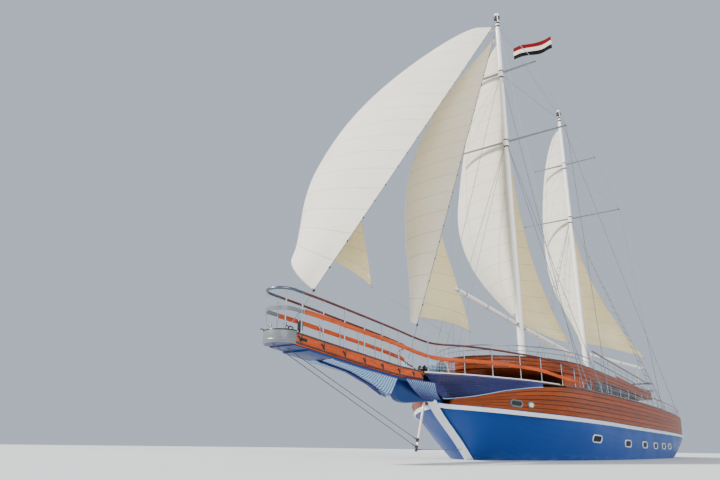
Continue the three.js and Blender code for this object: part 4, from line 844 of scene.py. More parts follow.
def nose():
    """The white metal band round the platform's nose, its plates, and the fittings on it."""
    k = Piece()
    radius, back = 0.42, 21.5615

    def outline(r, z):
        return [(back, r, z)] + nose_arc(21.57, r, z) + [(back, -r, z)]
    band = [(0.03, -0.135), (0.012, -0.148), (-0.006, -0.142), (-0.012, -0.125)]
    band += [(-0.012, 0.12), (-0.006, 0.134), (0.012, 0.138), (0.03, 0.13)]
    k.sweep(outline(radius - 0.014, 2.595), band)
    k.sweep(outline(radius - 0.012, 2.734), circle(0.015, 10), 1)
    k.sweep(outline(radius - 0.004, 2.53), circle(0.006, 8), 4)
    for z0, z1, mat in ((2.70, NOSE_TOP, 2), (2.446, 2.48, 3)):
        k.loft([outline(radius - 0.03, z) for z in (z0, z1)], mat, (False, True))
    for sign in SIDES:
        for x in (21.78, 21.64):
            hook = [(x, 0.36, NOSE_TOP), (x, 0.37, 2.79), (x + 0.05, 0.372, 2.80), (x + 0.1, 0.37, 2.79)]
            k.tube([(a, sign * b, c) for a, b, c in hook], 0.013, 1)
        bollard = [(0, 0.05), (0.1, 0.045), (0.15, 0.03), (0.75, 0.026), (0.8, 0.045), (1, 0.042)]
        k.upright(21.74, sign * 0.22, NOSE_TOP, 2.90, bollard, 4, 16)
    k.sweep([(21.42, 0.427, 2.57), (21.22, 0.427, 2.56)], rounded(0.012, 0.07, 0.005, 1), 1)
    lamp = [(0, 0.03), (0.3, 0.028), (0.32, 0.06), (0.9, 0.06), (1, 0.03)]
    k.upright(21.30, 0.28, 2.70, 2.99, lamp, 1, 16)
    looks = [SILVER, BLACK, TEAK, BLUE_SHADED, STEEL]
    k.done("nose_band", looks, slot="white_paint", replaces="platform_nose", sharp=35)


def girder():
    """Blue shelf under the platform, with the curved knee that carries it from the stem."""
    k = Piece()
    xs = np.linspace(PLATFORM_START + 0.001, 21.095, 26)
    k.sweep([(x, 0, platform_at(x, 2) - 0.031) for x in xs], rounded(0.77, 0.058, 0.02, 2))
    k.sweep([(x, 0, platform_at(x, 2) - 0.012) for x in (21.09, 21.3, 21.55)], rounded(0.74, 0.022, 0.008, 2))
    outline = [(17.3, 2.13), (17.05, 1.82), (16.85, 1.605), (16.5, 1.537), (16.0, 1.57), (15.2, 1.648)]
    rows = []
    for x, z in curve_through(outline + [(14.76, 1.672), (14.5, 1.69)], 0.06):
        top = WING_UNDER if x < PLATFORM_START else platform_at(x, 2) - 0.03
        port = [(x, 0.085, z + 0.012), (x, 0.11, z + 0.05), (x, 0.11, top)]
        rows.append(mirrored(port) + [(x, 0, z)] + port)
    k.loft(rows)
    # Shelf and knee take the darker blue, painted as shade under the platform.
    k.done("platform_knee", BLUE_SHADED, slot="blue_paint", replaces="bowsprit_beam", sharp=35)


NET_ROWS = np.array([(20.2, 2.225), (19.1, 2.11), (18.1, 1.88), (17.4, 1.655), (17.32, 1.64)])


def net_curve(x, sign):
    """One cord of the platform's net, from its edge to the middle."""
    edge, drop = platform_at(x, 2) - 0.062, straight(NET_ROWS, x)
    side = min(drop + 0.04, edge)
    return curve_through([(x, sign * 0.378, edge), (x, sign * 0.16, side + 0.02), (x, 0, drop + 0.012)], 0.09)


def platform_net():
    """Fine pale netting hung under the platform, with dark cords from side to side and a dark foot line."""
    k = Piece()
    xs = np.arange(17.33, 20.2, 0.0215)
    for sign in SIDES:
        lines = [net_curve(x, sign) for x in xs]
        for n, line in enumerate(lines):
            dark = n % 5 == 0
            out = np.array([0, sign * 0.006 * dark, 0])
            k.tube(line[:-1] + out, 0.011 if dark else 0.0095, int(dark), 5)
        for share, radius, mat in ((0.0, 0.012, 1), (0.3, 0.005, 0), (0.55, 0.005, 0), (0.86, 0.016, 1)):
            k.tube([line[int(share * (len(line) - 1))] for line in lines[::3]], radius, mat, 6)
    k.tube([net_curve(x, 1)[-1] for x in xs[::3]], 0.02, 1, 6)
    looks = [PALE_CORD, BLUE_CORD]
    k.done("platform_net_cords", looks, slot="pale_net", replaces="platform_net", sharp=180)


def flare_point(s, t, sign):
    """On the net between the foredeck's edge (t 0) and the bulwark (t 1); s runs aft."""
    aft, low_start, top_start, bow = 11.75, 14.6, 15.93, 14.33
    low_x, top_x = low_start + (aft - low_start) * s, top_start + (aft - top_start) * s
    top = Vector((top_x, straight(WING, top_x) + 0.009, WING_UNDER))
    narrow = max(0.0, low_x - bow) * 0.42
    low = Vector((low_x, cap_half(min(low_x, bow)) + 0.02 - narrow, cap_z(low_x) - 0.01))
    p = top.lerp(low, t)
    p.y = sign * (p.y - 0.035 * math.sin(math.pi * t) * (1 - s))
    return p


def flare_nets():
    """Dark netting between the foredeck's edge and the bow."""
    columns = 110
    for sign, name in NAMED_SIDES:
        k = Piece()
        for n in range(columns + 1):
            for lean in (0.05, -0.05):
                places = [(n / columns + lean * (t - 0.5), t) for t in (0, 0.25, 0.5, 0.75, 1)]
                k.tube([flare_point(min(max(s, 0.0), 1.0), t, sign) for s, t in places], 0.0065, 0, 4)
        for t in np.linspace(0, 1, 9):
            path = [flare_point(s, float(t), sign) for s in np.linspace(0, 1, 40)]
            k.tube(path, 0.015 if t in (0.0, 1.0) else 0.006, int(t == 1.0), 6)
        looks = [BLUE_CORD, PALE_CORD]
        k.done(f"flare_net_cords_{name}", looks, slot="blue_net", replaces=f"flare_net_{name}", sharp=180)


def stem_nets():
    """The pale nets in the corner between platform, knee and stem, and the ones in the rails above."""
    k = Piece()
    for sign in SIDES:
        def hung(s, t, out=0.0):
            top = Vector((16.95, 0.405, 2.15)).lerp(Vector((15.35, 0.47, 2.16)), s)
            low = Vector((15.5, 0.128, 1.715)).lerp(Vector((14.52, 0.185, 1.75)), s)
            p, sag = top.lerp(low, t), math.sin(math.pi * t)
            return (p.x, sign * (p.y - 0.03 * sag + out), p.z - 0.02 * sag)
        sixths = np.linspace(0, 1, 6)
        for n in range(73):
            dark = n % 5 == 0
            k.tube([hung(n / 72, t, 0.012 * dark) for t in sixths], 0.014 if dark else 0.011, int(dark), 5)
        for t in np.linspace(0, 1, 9):
            edge = t in (0.0, 1.0)
            k.tube([hung(s, float(t)) for s in np.linspace(0, 1, 14)], 0.013 if edge else 0.005, int(edge), 6)
        for s in (1, 0):
            k.tube([hung(s, t) for t in sixths], 0.014, 1, 6)
        for n in range(24):
            x = 15.72 - 0.75 * n / 23
            foot, head = rail_point(x, 2, sign), rail_point(x, 3, sign)
            foot.z = 2.45
            middle = foot.lerp(head, 0.5) + Vector((0, 0.012 * math.sin(n), 0))
            k.tube([foot, middle, head - UP * 0.05], 0.006, 0, 5)
        for z in (2.455, 2.56, 2.66):
            path = [(x, sign * straight(BOW_RAIL, x), z) for x in np.linspace(15.72, 14.97, 12)]
            k.tube(path, 0.007, 0, 5)
    k.done("stem_net_cords", [PALE_CORD, BLUE_CORD], slot="pale_net", sharp=180)


def rail_point(x, column, sign=1):
    """A point of the bow rail: column 2 is its top rail, column 3 its middle rail."""
    return Vector((x, sign * straight(BOW_RAIL, x), straight(BOW_RAIL, x, column)))


def rail_line(from_x, column, sign):
    """A bow rail from the nose aft to its end."""
    end = 9.55
    xs = [from_x] + [x for x in BOW_RAIL[:, 0] if end < x < from_x] + [end]
    return [tuple(rail_point(x, column, sign)) for x in xs]


def floor_under(x):
    """Height of what a rail post stands on."""
    if x > 21.5603:
        return NOSE_TOP
    if x > PLATFORM_START:
        return platform_at(x, 1)
    return FOREDECK if x > 10.7 else cap_z(x) + CAP_TOP


def nose_loop(column, rise=0.0):
    """A rail's line round the platform's nose."""
    side = [tuple(rail_point(21.3, column))]
    return side + nose_arc(NOSE_X, BOW_RAIL[0, 1], BOW_RAIL[0, column], rise) + mirrored(side)


def outwards(points, distance, sign):
    """A line's points moved off to one side, keeping the distance round its bends."""
    p = np.array(points, float)
    out = []
    for i in range(len(p)):
        ways = []
        for a, b in ((i - 1, i), (i, i + 1)):
            if a < 0 or b >= len(p):
                continue
            d = (p[b] - p[a])[:2]
            flat = np.array([d[1], -d[0]]) / np.hypot(*d)
            ways.append(flat if flat[1] * sign > 0 else -flat)
        middle = sum(ways) / np.linalg.norm(sum(ways))
        out.append(p[i] + np.append(middle, 0) * distance / float(middle @ ways[0]))
    return np.array(out)


def bow_rails():
    """Handrail, tubular posts and varnished planks from the nose back to the side decks."""
    hand, posts, planks = Piece(), Piece(), Piece()
    posts.tube(nose_loop(2, 0.015), 0.034, 2, 14)
    posts.sweep(nose_loop(3), rounded(0.016, 0.095, 0.005, 1), 1)
    for sign in SIDES:
        hand.tube(curve_through(rail_line(21.299, 2, sign), 0.12), 0.031, 0, 12)
        for x in RAIL_POSTS + [21.36]:
            top, middle = rail_point(x, 2, sign), rail_point(x, 3, sign)
            foot = Vector((top.x, top.y, floor_under(x) - 0.004))
            posts.bar(foot, top, 0.0165, 0, 10)
            posts.lathe(foot, foot + UP * 0.05, collar(0.038, 0.2, 0.35, 0.024, 0.019), 0, 14)
            posts.lathe(top - UP * 0.05, top, [(0, 0.018), (0.5, 0.024), (1, 0.024)], 0, 12)
            size = Vector((0.022, 0.018, 0.03))
            posts.block(middle - size, middle + size, 0, 0.004)
        line = outwards(rail_line(21.296, 3, sign), 0.0353, sign)
        planks.sweep(curve_through(line, 0.14), rounded(0.036, 0.112, 0.012))
    for a in (0.3 * math.pi, -0.3 * math.pi):
        x, y = NOSE_X + 0.354 * math.cos(a), 0.354 * math.sin(a)
        posts.bar((x, y, NOSE_TOP), (x, y, 3.645), 0.0165, 0, 10)
        posts.upright(x, y, NOSE_TOP, NOSE_TOP + 0.052, collar(0.038, 0.3, 0.5, 0.022, 0.019), 0, 14)
    rails, strips = ([f"bow_{part}_{name}" for _, name in NAMED_SIDES] for part in ("rail", "plank"))
    hand.done("bow_handrail", REDDISH, slot="dark_wood", replaces=rails)
    posts.done("bow_rail_posts", [STEEL, SILVER, RAIL_GREY], slot="steel", replaces="bow_rail_nose")
    planks.done("bow_rail_planks", ORANGE, slot="light_wood", replaces=strips)


def deck_edges():
    """The thin white edge of the foredeck with a dark red line under it."""
    k = Piece()
    edges = ((2.418, 0.008, 0.014, 0.034), (2.388, 0.006, 0.012, 0.022))  # height, distance, width, depth
    for sign in SIDES:
        for mat, (z, out, wide, high) in enumerate(edges):
            line = outwards([(x, sign * y, z) for x, y in WING[:-1]], out, sign)
            k.sweep(curve_through(line, 0.2), rounded(wide, high, 0.004, 1), mat)
    k.done("foredeck_edging", [WHITE, REDDISH], slot="white_paint")


# Saloon and sun deck


def roof_half(x):
    """Half breadth of the sun deck's front."""
    return straight(ROOF_FRONT, x)


def roof_edge(extra, z):
    """Port edge of the sun deck, round the front and back along starboard."""
    port = [(x, y + extra, z) for x, y in [(-5.3, 2.675), (0.0, 2.70), *ROOF_FRONT[::-1]]]
    return port + [(12.08 + extra, 0.0, z)] + mirrored(port)


def fascia():
    """Three stepped bands of planking round the sun deck, black strips between them as painted shadow under
    each step, a cap and the gutters.
    """
    k = Piece()
    for low, top, proud in ((2.952, 3.075, 0.052), (3.083, 3.225, 0.062), (3.233, 3.345, 0.068)):
        k.sweep(roof_edge(proud / 2, (low + top) / 2), rounded(proud + 0.002, top - low, 0.012, 2))
    # Black strips between the bands: painted shadow under each step.
    for z in (3.079, 3.229):
        k.sweep(roof_edge(0.02, z), rounded(0.05, 0.012, 0.003, 1), 1)
    k.sweep(roof_edge(0.03, 3.367), rounded(0.078, 0.046, 0.016), 2)
    for sign in SIDES:
        gutter = [(x, sign * (2.69 - (6.7 - x) * 0.005), 2.938) for x in np.linspace(6.4, -4.8, 12)]
        k.sweep(gutter, rounded(0.04, 0.026, 0.008, 1), 3)
    looks = [BANDS, BLACK, DARK, WHITE]
    k.done("sun_deck_bands", looks, slot="light_wood", replaces="sun_deck_fascia", sharp=40)


def soffit():
    """The sun deck's underside: white boards over the side decks, varnished planks before the saloon."""
    k = Piece()
    low, top = 2.926, 2.948
    for sign in SIDES:
        for y in (2.13, 2.31, 2.49):
            k.block((-4.9, sign * y, low), (6.3, sign * (y + 0.172), top), 0, 0.005)
    for x in np.arange(6.32, 11.75, 0.12):
        half = min(roof_half(x), roof_half(x + 0.11)) - 0.06
        k.block((x, -half, low), (x + 0.112, half, top), 1, 0.005)
    k.done("sun_deck_soffit", [WHITE, LIGHT_PLANKS], slot="light_wood", sharp=30)


def sun_deck_rails():
    """The low tubular rail round the sun deck's front, and the higher one round its after part."""
    tubes, wooden, boards = Piece(), Piece(), Piece()
    port = [(6.65, 2.74)] + [(x, y + 0.02) for x, y in ROOF_FRONT[::-1] if 6.7 < x <= 11.9] + [(12.08, 0.27)]
    ring = port + [(x, -y) for x, y in port[::-1]]
    for z, radius in ((3.74, 0.019), (3.57, 0.012)):
        tubes.tube(curve_through([(x, y, z) for x, y in ring], 0.15), radius, 0, 10)
    for x, y in ring:
        tubes.bar((x, y, 3.385), (x, y, 3.74), 0.0135, 0, 10)
        tubes.upright(x, y, 3.388, 3.42, collar(0.032, 0.4, 0.6, 0.018, 0.016), 0, 12)
    start, end, aft = 5.9, -5.1, -5.27

    def at(x, drop=0.0, sign=1, out=0.0):
        """On the after rail, which falls a little towards the stern."""
        return (x, sign * (2.675 - (6.7 - x) * 0.005 + out), 4.15 - drop - (start - x) * 0.027)
    for drop, radius in ((0, 0.034), (0.39, 0.018)):
        line = [at(x, drop) for x in (start, 0.0, -5.0)] + [at(aft, drop, out=-0.2)]
        wooden.tube(curve_through(line + mirrored(line), 0.2), radius, 0, 12)
    for drop in (0.36, 0.18):
        for sign in SIDES:
            tubes.tube([at(x, drop, sign) for x in np.linspace(start, end, 8)], 0.009, 0, 6)
    heads = [at(x, 0, sign) for x in np.linspace(start, end, 10) for sign in SIDES]
    foot = collar(0.04, 0.3, 0.5, 0.022, 0.018)
    for x, y, z in heads + [(aft, y, at(aft)[2]) for y in (0.9, -0.9)]:
        tubes.bar((x, y, SUN_DECK), (x, y, z), 0.0165, 0, 10)
        tubes.upright(x, y, SUN_DECK + 0.001, SUN_DECK + 0.05, foot, 0, 14)
    for sign in SIDES:
        for drop in (0.56, 0.70, 0.84):
            line = [at(x, drop, sign, 0.026) for x in np.linspace(2.2, end, 12)]
            boards.sweep(line, rounded(0.018, 0.10, 0.006, 2))
    boards.done("sun_deck_rail_boards", LIGHT_PLANKS, slot="light_wood")
    replaced = ("sun_deck_rail_fore", "sun_deck_rail_aft")
    tubes.done("sun_deck_rail_tubes", STEEL, slot="steel", replaces=replaced)
    wooden.done("sun_deck_handrail", DARK, slot="dark_wood")


def side_rails():
    """The low wooden rail on posts along each bulwark, from the bow rail's end to the stern."""
    tubes, wooden = Piece(), Piece()
    first, last = 9.3, -12.9
    for sign in SIDES:
        def at(x, lift=0.40):
            return Vector((x, sign * (cap_half(x) - 0.05), cap_z(x) + CAP_TOP + lift))
        xs = np.linspace(first, last, 40)
        wooden.tube([at(x) for x in xs], 0.024, 0, 10)
        tubes.tube([at(x, 0.2) for x in xs], 0.010)
        for x in np.linspace(first, last, 19):
            foot = at(x, -0.002)
            tubes.bar(foot, at(x), 0.014)
            tubes.lathe(foot, foot + UP * 0.04, collar(0.03, 0.4, 0.6, 0.017, 0.015), 0, 12)
    tubes.done("side_rail_posts", STEEL, slot="steel")
    wooden.done("side_rail_wood", REDDISH, slot="dark_wood")


def windlass():
    """Anchor winch with its two drums on the foredeck, and its chain to the bow."""
    k = Piece()
    drum = [(0, 0.10), (0.04, 0.13), (0.1, 0.08), (0.16, 0.08), (0.22, 0.13), (0.26, 0.06)]
    k.block((14.45, -0.2, 2.442), (14.85, 0.2, 2.60), 0, 0.02)
    k.lathe((14.65, -0.46, 2.68), (14.65, 0.46, 2.68), drum + [(1 - s, r) for s, r in drum[::-1]], 0, 22)
    k.block((14.55, -0.12, 2.58), (14.75, 0.12, 2.78), 0, 0.03)
    for n in range(22):
        link = Vector((0, 0.022, 0.004) if n % 2 else (0, 0.004, 0.022))
        k.ring(Vector((14.83 + 0.05 * n, 0.16, 2.47)), Vector((0.036, 0, 0)), link, 1, 0.008, 1, sides=6)
    k.done("anchor_windlass", [BLACK, STEEL], slot="steel")


def window_frame(k, centre, across, out, width):
    """A window frame: a rounded moulding that stands proud of its wall."""
    at = (Vector(centre), Vector(across), UP, Vector(out))
    profile = [(-0.07, -0.012), (-0.07, 0.034), (-0.05, 0.048), (-0.018, 0.048), (0.0, 0.03), (0.0, -0.012)]
    k.rim(at, width, 0.75, 0.03, profile, turns=3)


def windows():
    """Frames of the saloon's windows, with a middle bar in each side window."""
    k = Piece()
    z = (SILL + LINTEL) / 2
    for sign in SIDES:
        for n in range(6):
            x = 4.325 - 1.5 * n
            window_frame(k, (x, sign * 2.05, z), (-sign, 0, 0), (0, sign, 0), 1.13)
            low = (x - 0.02, sign * 2.04 - 0.02, SILL + 0.01)
            k.block(low, (x + 0.02, sign * 2.04 + 0.02, LINTEL - 0.01))
    for x, ys, way, width in ((SALOON_FRONT, (1.25, 0, -1.25), 1, 0.98), (SALOON_AFT, (1.2, -1.2), -1, 0.94)):
        for y in ys:
            window_frame(k, (x, y, z), (0, way, 0), (way, 0, 0), width)
    k.done("saloon_window_frames", WHITE, slot="white_paint", sharp=30)


def fanlights():
    """A row of low fixed lights between two white mouldings, right under the sun deck."""
    k = Piece()
    low, high = 2.755, 2.925

    def strip(x0, x1, y, half, z0, z1, mat=0, bevel=0.006):
        k.block((x0, y - half, z0), (x1, y + half, z1), mat, bevel)
    for sign in SIDES:
        for z in (low, high):
            strip(-4.9, 5.7, sign * 2.08, 0.03, z - 0.016, z + 0.016)
        strip(-4.88, 5.68, sign * 2.056, 0.008, low + 0.01, high - 0.01, 1, 0.002)
        for n in range(22):
            x = 5.65 - 0.5 * n
            strip(x - 0.022, x + 0.022, sign * 2.075, 0.024, low + 0.01, high - 0.01, 0, 0.005)
    k.done("saloon_fanlights", [WHITE, GLASS], slot="white_paint", sharp=30)


def arches():
    """Dark mouldings round the arched way through each side panel."""
    k = Piece()
    fore, aft, foot, spring = 7.5, 6.55, 1.5, 2.64
    turn = np.linspace(0.2, math.pi - 0.2, 13)
    path = [(fore, z) for z in [foot, *np.linspace(1.6, spring, 8)]]
    path += [(7.025 + 0.475 * math.cos(a), spring + 0.22 * math.sin(a)) for a in turn]
    path += [(aft, z) for z in [*np.linspace(spring, 1.6, 8), foot]]
    for sign in SIDES:
        line = [(x, sign * (roof_half(x) - 0.055), z) for x, z in path]
        k.sweep(line, rounded(0.085, 0.035, 0.012, 2), up=(0, 1, 0))
    k.done("side_arch_mouldings", DARK, slot="dark_wood")


def saloon_trim():
    """Dark posts and rails on the saloon's walls, and the door's hinges and handle."""
    k = Piece()
    foot, top = 1.0, 2.94
    for sign in SIDES:
        y = sign * 2.07
        for z in (1.9, 2.8):
            k.block((-4.99, y - 0.02, z - 0.0175), (5.79, y + 0.02, z + 0.0175), 0, 0.008)
        for n in range(7):
            x = 5.075 - 1.5 * n
            k.block((x - 0.03, y - 0.018, foot), (x + 0.03, y + 0.018, top), 0, 0.008)
    for x, inner in ((SALOON_FRONT + 0.012, 0.66), (SALOON_AFT - 0.012, 0.5)):
        for y in (2.03, inner, -inner, -2.03):
            k.block((x - 0.018, y - 0.03, foot), (x + 0.018, y + 0.03, top), 0, 0.008)
    k.done("saloon_posts", DARK, slot="dark_wood")
    k = Piece()
    x, y, z = SALOON_AFT - 0.036, -0.29, 2.05
    for hinge_z in (1.55, 2.1, 2.65):
        knuckle = barrel(0.008, 0.0125, 0.05)
        k.upright(SALOON_AFT - 0.013, 0.38, hinge_z - 0.05, hinge_z + 0.05, knuckle, 0, 12)
    rose = [(0, 0.018), (0.3, 0.022), (0.6, 0.010), (0.9, 0.011), (1, 0.026)]
    k.lathe((x - 0.055, y, z), (x - 0.005, y, z), rose, 0, 16)
    k.tube([(x - 0.04, y, z), (x - 0.045, y + 0.09, z), (x - 0.04, y + 0.14, z - 0.005)], 0.008)
    k.done("saloon_door_handle", STEEL, body="saloon_door", slot="steel")


# Masts, booms and rigging


def mast_radius(m, z):
    """Radius of a mast at a height."""
    share = (z - m["low"]) / (m["top"] - m["low"])
    return m["foot"] + (m["head"] - m["foot"]) * min(max(share, 0), 1)


def spreader(k, x, z, length, sign):
    """One arm with a streamlined section, and the fitting at its tip."""
    rows, root = [], 0.07
    for t in np.linspace(0, 1, 9):
        chord, thick, y = 0.098 - 0.03 * t, 0.038 - 0.010 * t, sign * (root + (length - root) * t)
        section = [(math.cos(a), math.sin(a) * (1 if math.cos(a) > -0.3 else 0.75)) for a in turns_of(16)]
        rows.append([(x - chord * s, y, z + thick * u) for s, u in section])
    k.loft(rows, 4, (False, False))
    k.upright(x, sign * (length - 0.04), z - 0.03, z + 0.05, barrel(0.02, 0.038, 0.2), 2, 14)


def mast(name, m):
    """A mast with its deck collar, bands, spreaders, head, winches and halyards."""
    k = Piece()
    c, foot, top, tip = m["x"], m["foot"], m["top"], m["head"]
    rings = [(z, mast_radius(m, z)) for z in np.linspace(m["low"], top, 30)]
    rings += [(top + 0.06, tip * 1.25), (top + 0.12, tip * 1.25), (top + 0.15, tip * 0.9)]
    rings.append((top + 0.168, 0.03))
    low, high = m["low"], rings[-1][0]
    k.upright(c, 0, low, high, [((z - low) / (high - low), r) for z, r in rings], 0, 32)
    sleeve = [(0, foot + 0.075), (0.25, foot + 0.07), (0.45, foot + 0.028), (1, foot + 0.012)]
    k.upright(c, 0, SUN_DECK - 0.002, SUN_DECK + 0.16, sleeve, 1, 32)

    def band(z, r, half, proud, mat=2, edge=0.1):
        k.upright(c, 0, z - half, z + half, barrel(r + 0.002, r + proud, edge), mat, 32)
    for z, _ in SPREADERS[name]:
        r = mast_radius(m, z)
        for d in (-0.26, 0.09):
            band(z + d, r, 0.04, 0.012)
        band(z, r, 0.07, 0.03, 0, 0.2)
    for z in (top - 0.42, top - 0.62):
        band(z, mast_radius(m, z), 0.045, 0.013)
    for z, length in SPREADERS[name]:
        for sign in SIDES:
            spreader(k, c, z, length, sign)
    for a in (0.0, 1.57, 3.14, 4.71):
        x, y = c + (tip + 0.012) * math.cos(a), (tip + 0.012) * math.sin(a)
        k.upright(x, y, top - 0.24, top + 0.02, barrel(0.02, 0.045), 2, 14)
    for side in (1, -1):
        x = c + side * (tip + 0.035)
        k.block((x - 0.05, -0.045, top - 0.34), (x + 0.05, 0.045, top - 0.03), 2, 0.012)
    z = 3.6 if name == "main" else 3.7
    winch = [(0, 0.05), (0.15, 0.05), (0.2, 0.035), (0.7, 0.03), (0.8, 0.045), (1, 0.04)]
    for a, lift in ((0.9, 0.0), (-0.9, 0.25), (2.4, 0.1)):
        way = Vector((math.cos(a), math.sin(a), 0))
        p = Vector((c, 0, z + lift)) + way * (mast_radius(m, z) + 0.004)
        k.lathe(p, p + way * 0.11, winch, 1, 18)
    for sign in SIDES:
        heights = np.linspace(top - 0.7, 4.0, 24)
        k.tube([(c + 0.06 * sign, (mast_radius(m, h) + 0.018) * -sign, h) for h in heights], 0.007, 3, 6)
    return k


def gooseneck(k, name, m):
    """Two ears on the mast and the pin through them."""
    pin_x, z = BOOMS[name][:2]
    way = 1 if pin_x > m["x"] else -1
    start = m["x"] + way * (mast_radius(m, z) - 0.03)
    angles = np.linspace(-math.pi / 2, math.pi / 2, 9)
    eye = [(pin_x + way * 0.038 * math.cos(a), 0.038 * math.sin(a)) for a in angles]
    outline = [(start, -0.045)] + eye + [(start, 0.045)]
    for d in (0.06, -0.06):
        k.loft([[(x, y, z + d + h) for x, y in outline] for h in (-0.0125, 0.0125)], 1)
    head = [(0, 0.012), (0.02, 0.026), (0.09, 0.026), (0.1, 0.0175)]
    k.upright(pin_x, 0, z - 0.095, z + 0.095, head + [(1 - s, r) for s, r in head[::-1]], 1, 16)


def masts():
    """Both masts, each with the goosenecks of its booms."""
    looks = [MAST_WHITE, STEEL, DARK_METAL, LINE, SPREADER]
    for name, m, held in (("main", MAIN, ("main_boom", "fore_boom")), ("mizzen", MIZZEN, ("mizzen_boom",))):
        k = mast(name, m)
        if name == "main":
            k.upright(6.52, 0.02, m["top"] + 0.14, m["top"] + 0.16, [(0, 0.01), (1, 0.008)], 1, 8)
        for boom in held:
            gooseneck(k, boom, m)
        k.done(f"{name}_mast_spar", looks, slot="white_paint", replaces=f"{name}_mast", sharp=40)


def boom_axis(name):
    """Pin, direction, length and radius of a boom."""
    x, z, length, angle, rise, radius, turn = BOOMS[name]
    a, r = math.radians(turn - angle), math.radians(rise)
    way = Vector((math.cos(a) * math.cos(r), math.sin(a) * math.cos(r), math.sin(r)))
    return Vector((x, 0, z)), way, length, radius


def booms():
    """Each boom with its end sleeve, jaw, bands with eyes, the strip below and the sail's track above."""
    shape = [(0, 0.6), (0.012, 0.85), (0.03, 0.95), (0.08, 0.99), (0.5, 0.99), (0.9, 0.9), (0.975, 0.78)]
    shape += [(0.99, 0.75), (1, 0.55)]
    sleeve = [(0, 0.6), (0.1, 0.9), (0.15, 1.02), (0.9, 1.06), (1, 0.95)]
    for name in BOOMS:
        pin, along, length, radius = boom_axis(name)
        k = Piece()
        k.lathe(pin + along * 0.13, pin + along * length, [(s, radius * r) for s, r in shape], 0, 28)
        k.lathe(pin + along * 0.1, pin + along * 0.30, [(s, radius * r) for s, r in sleeve], 1, 28)
        k.lathe(pin - UP * 0.0445, pin + UP * 0.0445, barrel(0.028, 0.034, 0.06), 1, 20)
        side = UP.cross(along).normalized()
        top = along.cross(side)
        for way in (1, -1):
            cheek = [pin + along * 0.028 + side * way * 0.012, pin + along * 0.14 + side * way * 0.014]
            k.sweep(cheek, rounded(0.02, 0.06, 0.006, 1), 1)
        for t in (0.22, 0.55, 0.86, 0.965):
            c = pin + along * length * t
            r = radius * (1.02 if t < 0.9 else 0.85)
            k.lathe(c - along * 0.03, c + along * 0.03, barrel(r * 0.97, r + 0.009), 1, 28)
            k.ring(c - top * (r + 0.018), along, -top, 0.022, 0.006, 1)
        below = top * (radius * 0.995 + 0.004)
        strip = [pin + along * t - below for t in np.linspace(0.4, length * 0.95, 12)]
        k.sweep(strip, rounded(0.075, 0.012, 0.004, 1))
        if name != "fore_boom":
            track = [pin + along * t + top * radius * 1.02 for t in np.linspace(0.4, length * 0.94, 12)]
            k.sweep(track, rounded(0.032, 0.016, 0.004, 1), 1)
        looks = [MAST_WHITE, STEEL, BLACK]
        k.done(f"{name}_spar", looks, body=name, slot="white_paint", replaces=name, sharp=40)


def turnbuckle(k, low, high, size=1.0):
    """A rigging screw with its fork, at the foot of a wire."""
    a, way = Vector(low), (Vector(high) - Vector(low)).normalized()
    profile = [(0, 0.009), (0.02, 0.015), (0.12, 0.015), (0.15, 0.009), (0.2, 0.009), (0.22, 0.015)]
    profile += [(0.74, 0.015), (0.76, 0.009), (0.86, 0.009), (0.88, 0.014), (1, 0.012)]
    k.lathe(a, a + way * 0.36 * size, profile, 1, 12)


def wire(k, a, b, radius=0.012, screw=0.0):
    """A straight wire, with a rigging screw of the given size at its foot."""
    k.bar(a, b, radius)
    if screw:
        turnbuckle(k, a, b, screw)


STAY_OUTER = ((21.4937, 0, 2.7078), (6.762, 0, 21.05))
STAY_INNER = ((16.27, 0, 2.4674), (6.7574, 0, 20.65))


def stays():
    """The two forestays and the wires between the mastheads."""
    for name, (low, high) in (("forestay_outer", STAY_OUTER), ("forestay_inner", STAY_INNER)):
        k = Piece()
        wire(k, low, high, 0.0095, 1)
        p = Vector(low)
        k.lathe(p - UP * 0.045, p, collar(0.05, 0.3, 0.35, 0.02, 0.016), 1, 16)
        k.done(f"{name}_wire", [WIRE, STEEL], slot="rigging_wire", replaces=name, sharp=60)
    k = Piece()
    wire(k, (6.55, 0, 20.9), (-3.11, 0, 20.45), 0.0085)
    k.tube([(6.56, 0, 21.25), (1.8, 0.0, 20.95), (-3.13, 0, 20.68)], 0.004, 0, 6)
    k.done("triatic_wire", [WIRE], slot="rigging_wire", replaces="triatic_stay", sharp=60)


def shroud_foot(x, sign):
    """Where a shroud meets its chainplate."""
    return Vector((x, sign * (cap_half(x) + 0.12), cap_z(x) + 0.06))


def chainplate(k, x, sign):
    """A flat bar from the bulwark's top to a shroud's foot."""
    low = (x - 0.03, sign * (cap_half(x) - 0.02), cap_z(x) + 0.054)
    k.block(low, (x + 0.03, sign * (cap_half(x) + 0.14), cap_z(x) + 0.066), 1, 0.003)


def ratlines(k, fore, aft):
    """Cords tied from one shroud to another, each sagging a little."""
    for n in range(22):
        z = 3.3 + 0.38 * n
        a, b = (foot.lerp(top, (z - foot.z) / (top.z - foot.z)) for foot, top in (fore, aft))
        k.tube([a, (a + b) / 2 - UP * 0.012, b], 0.015, 0, 6)


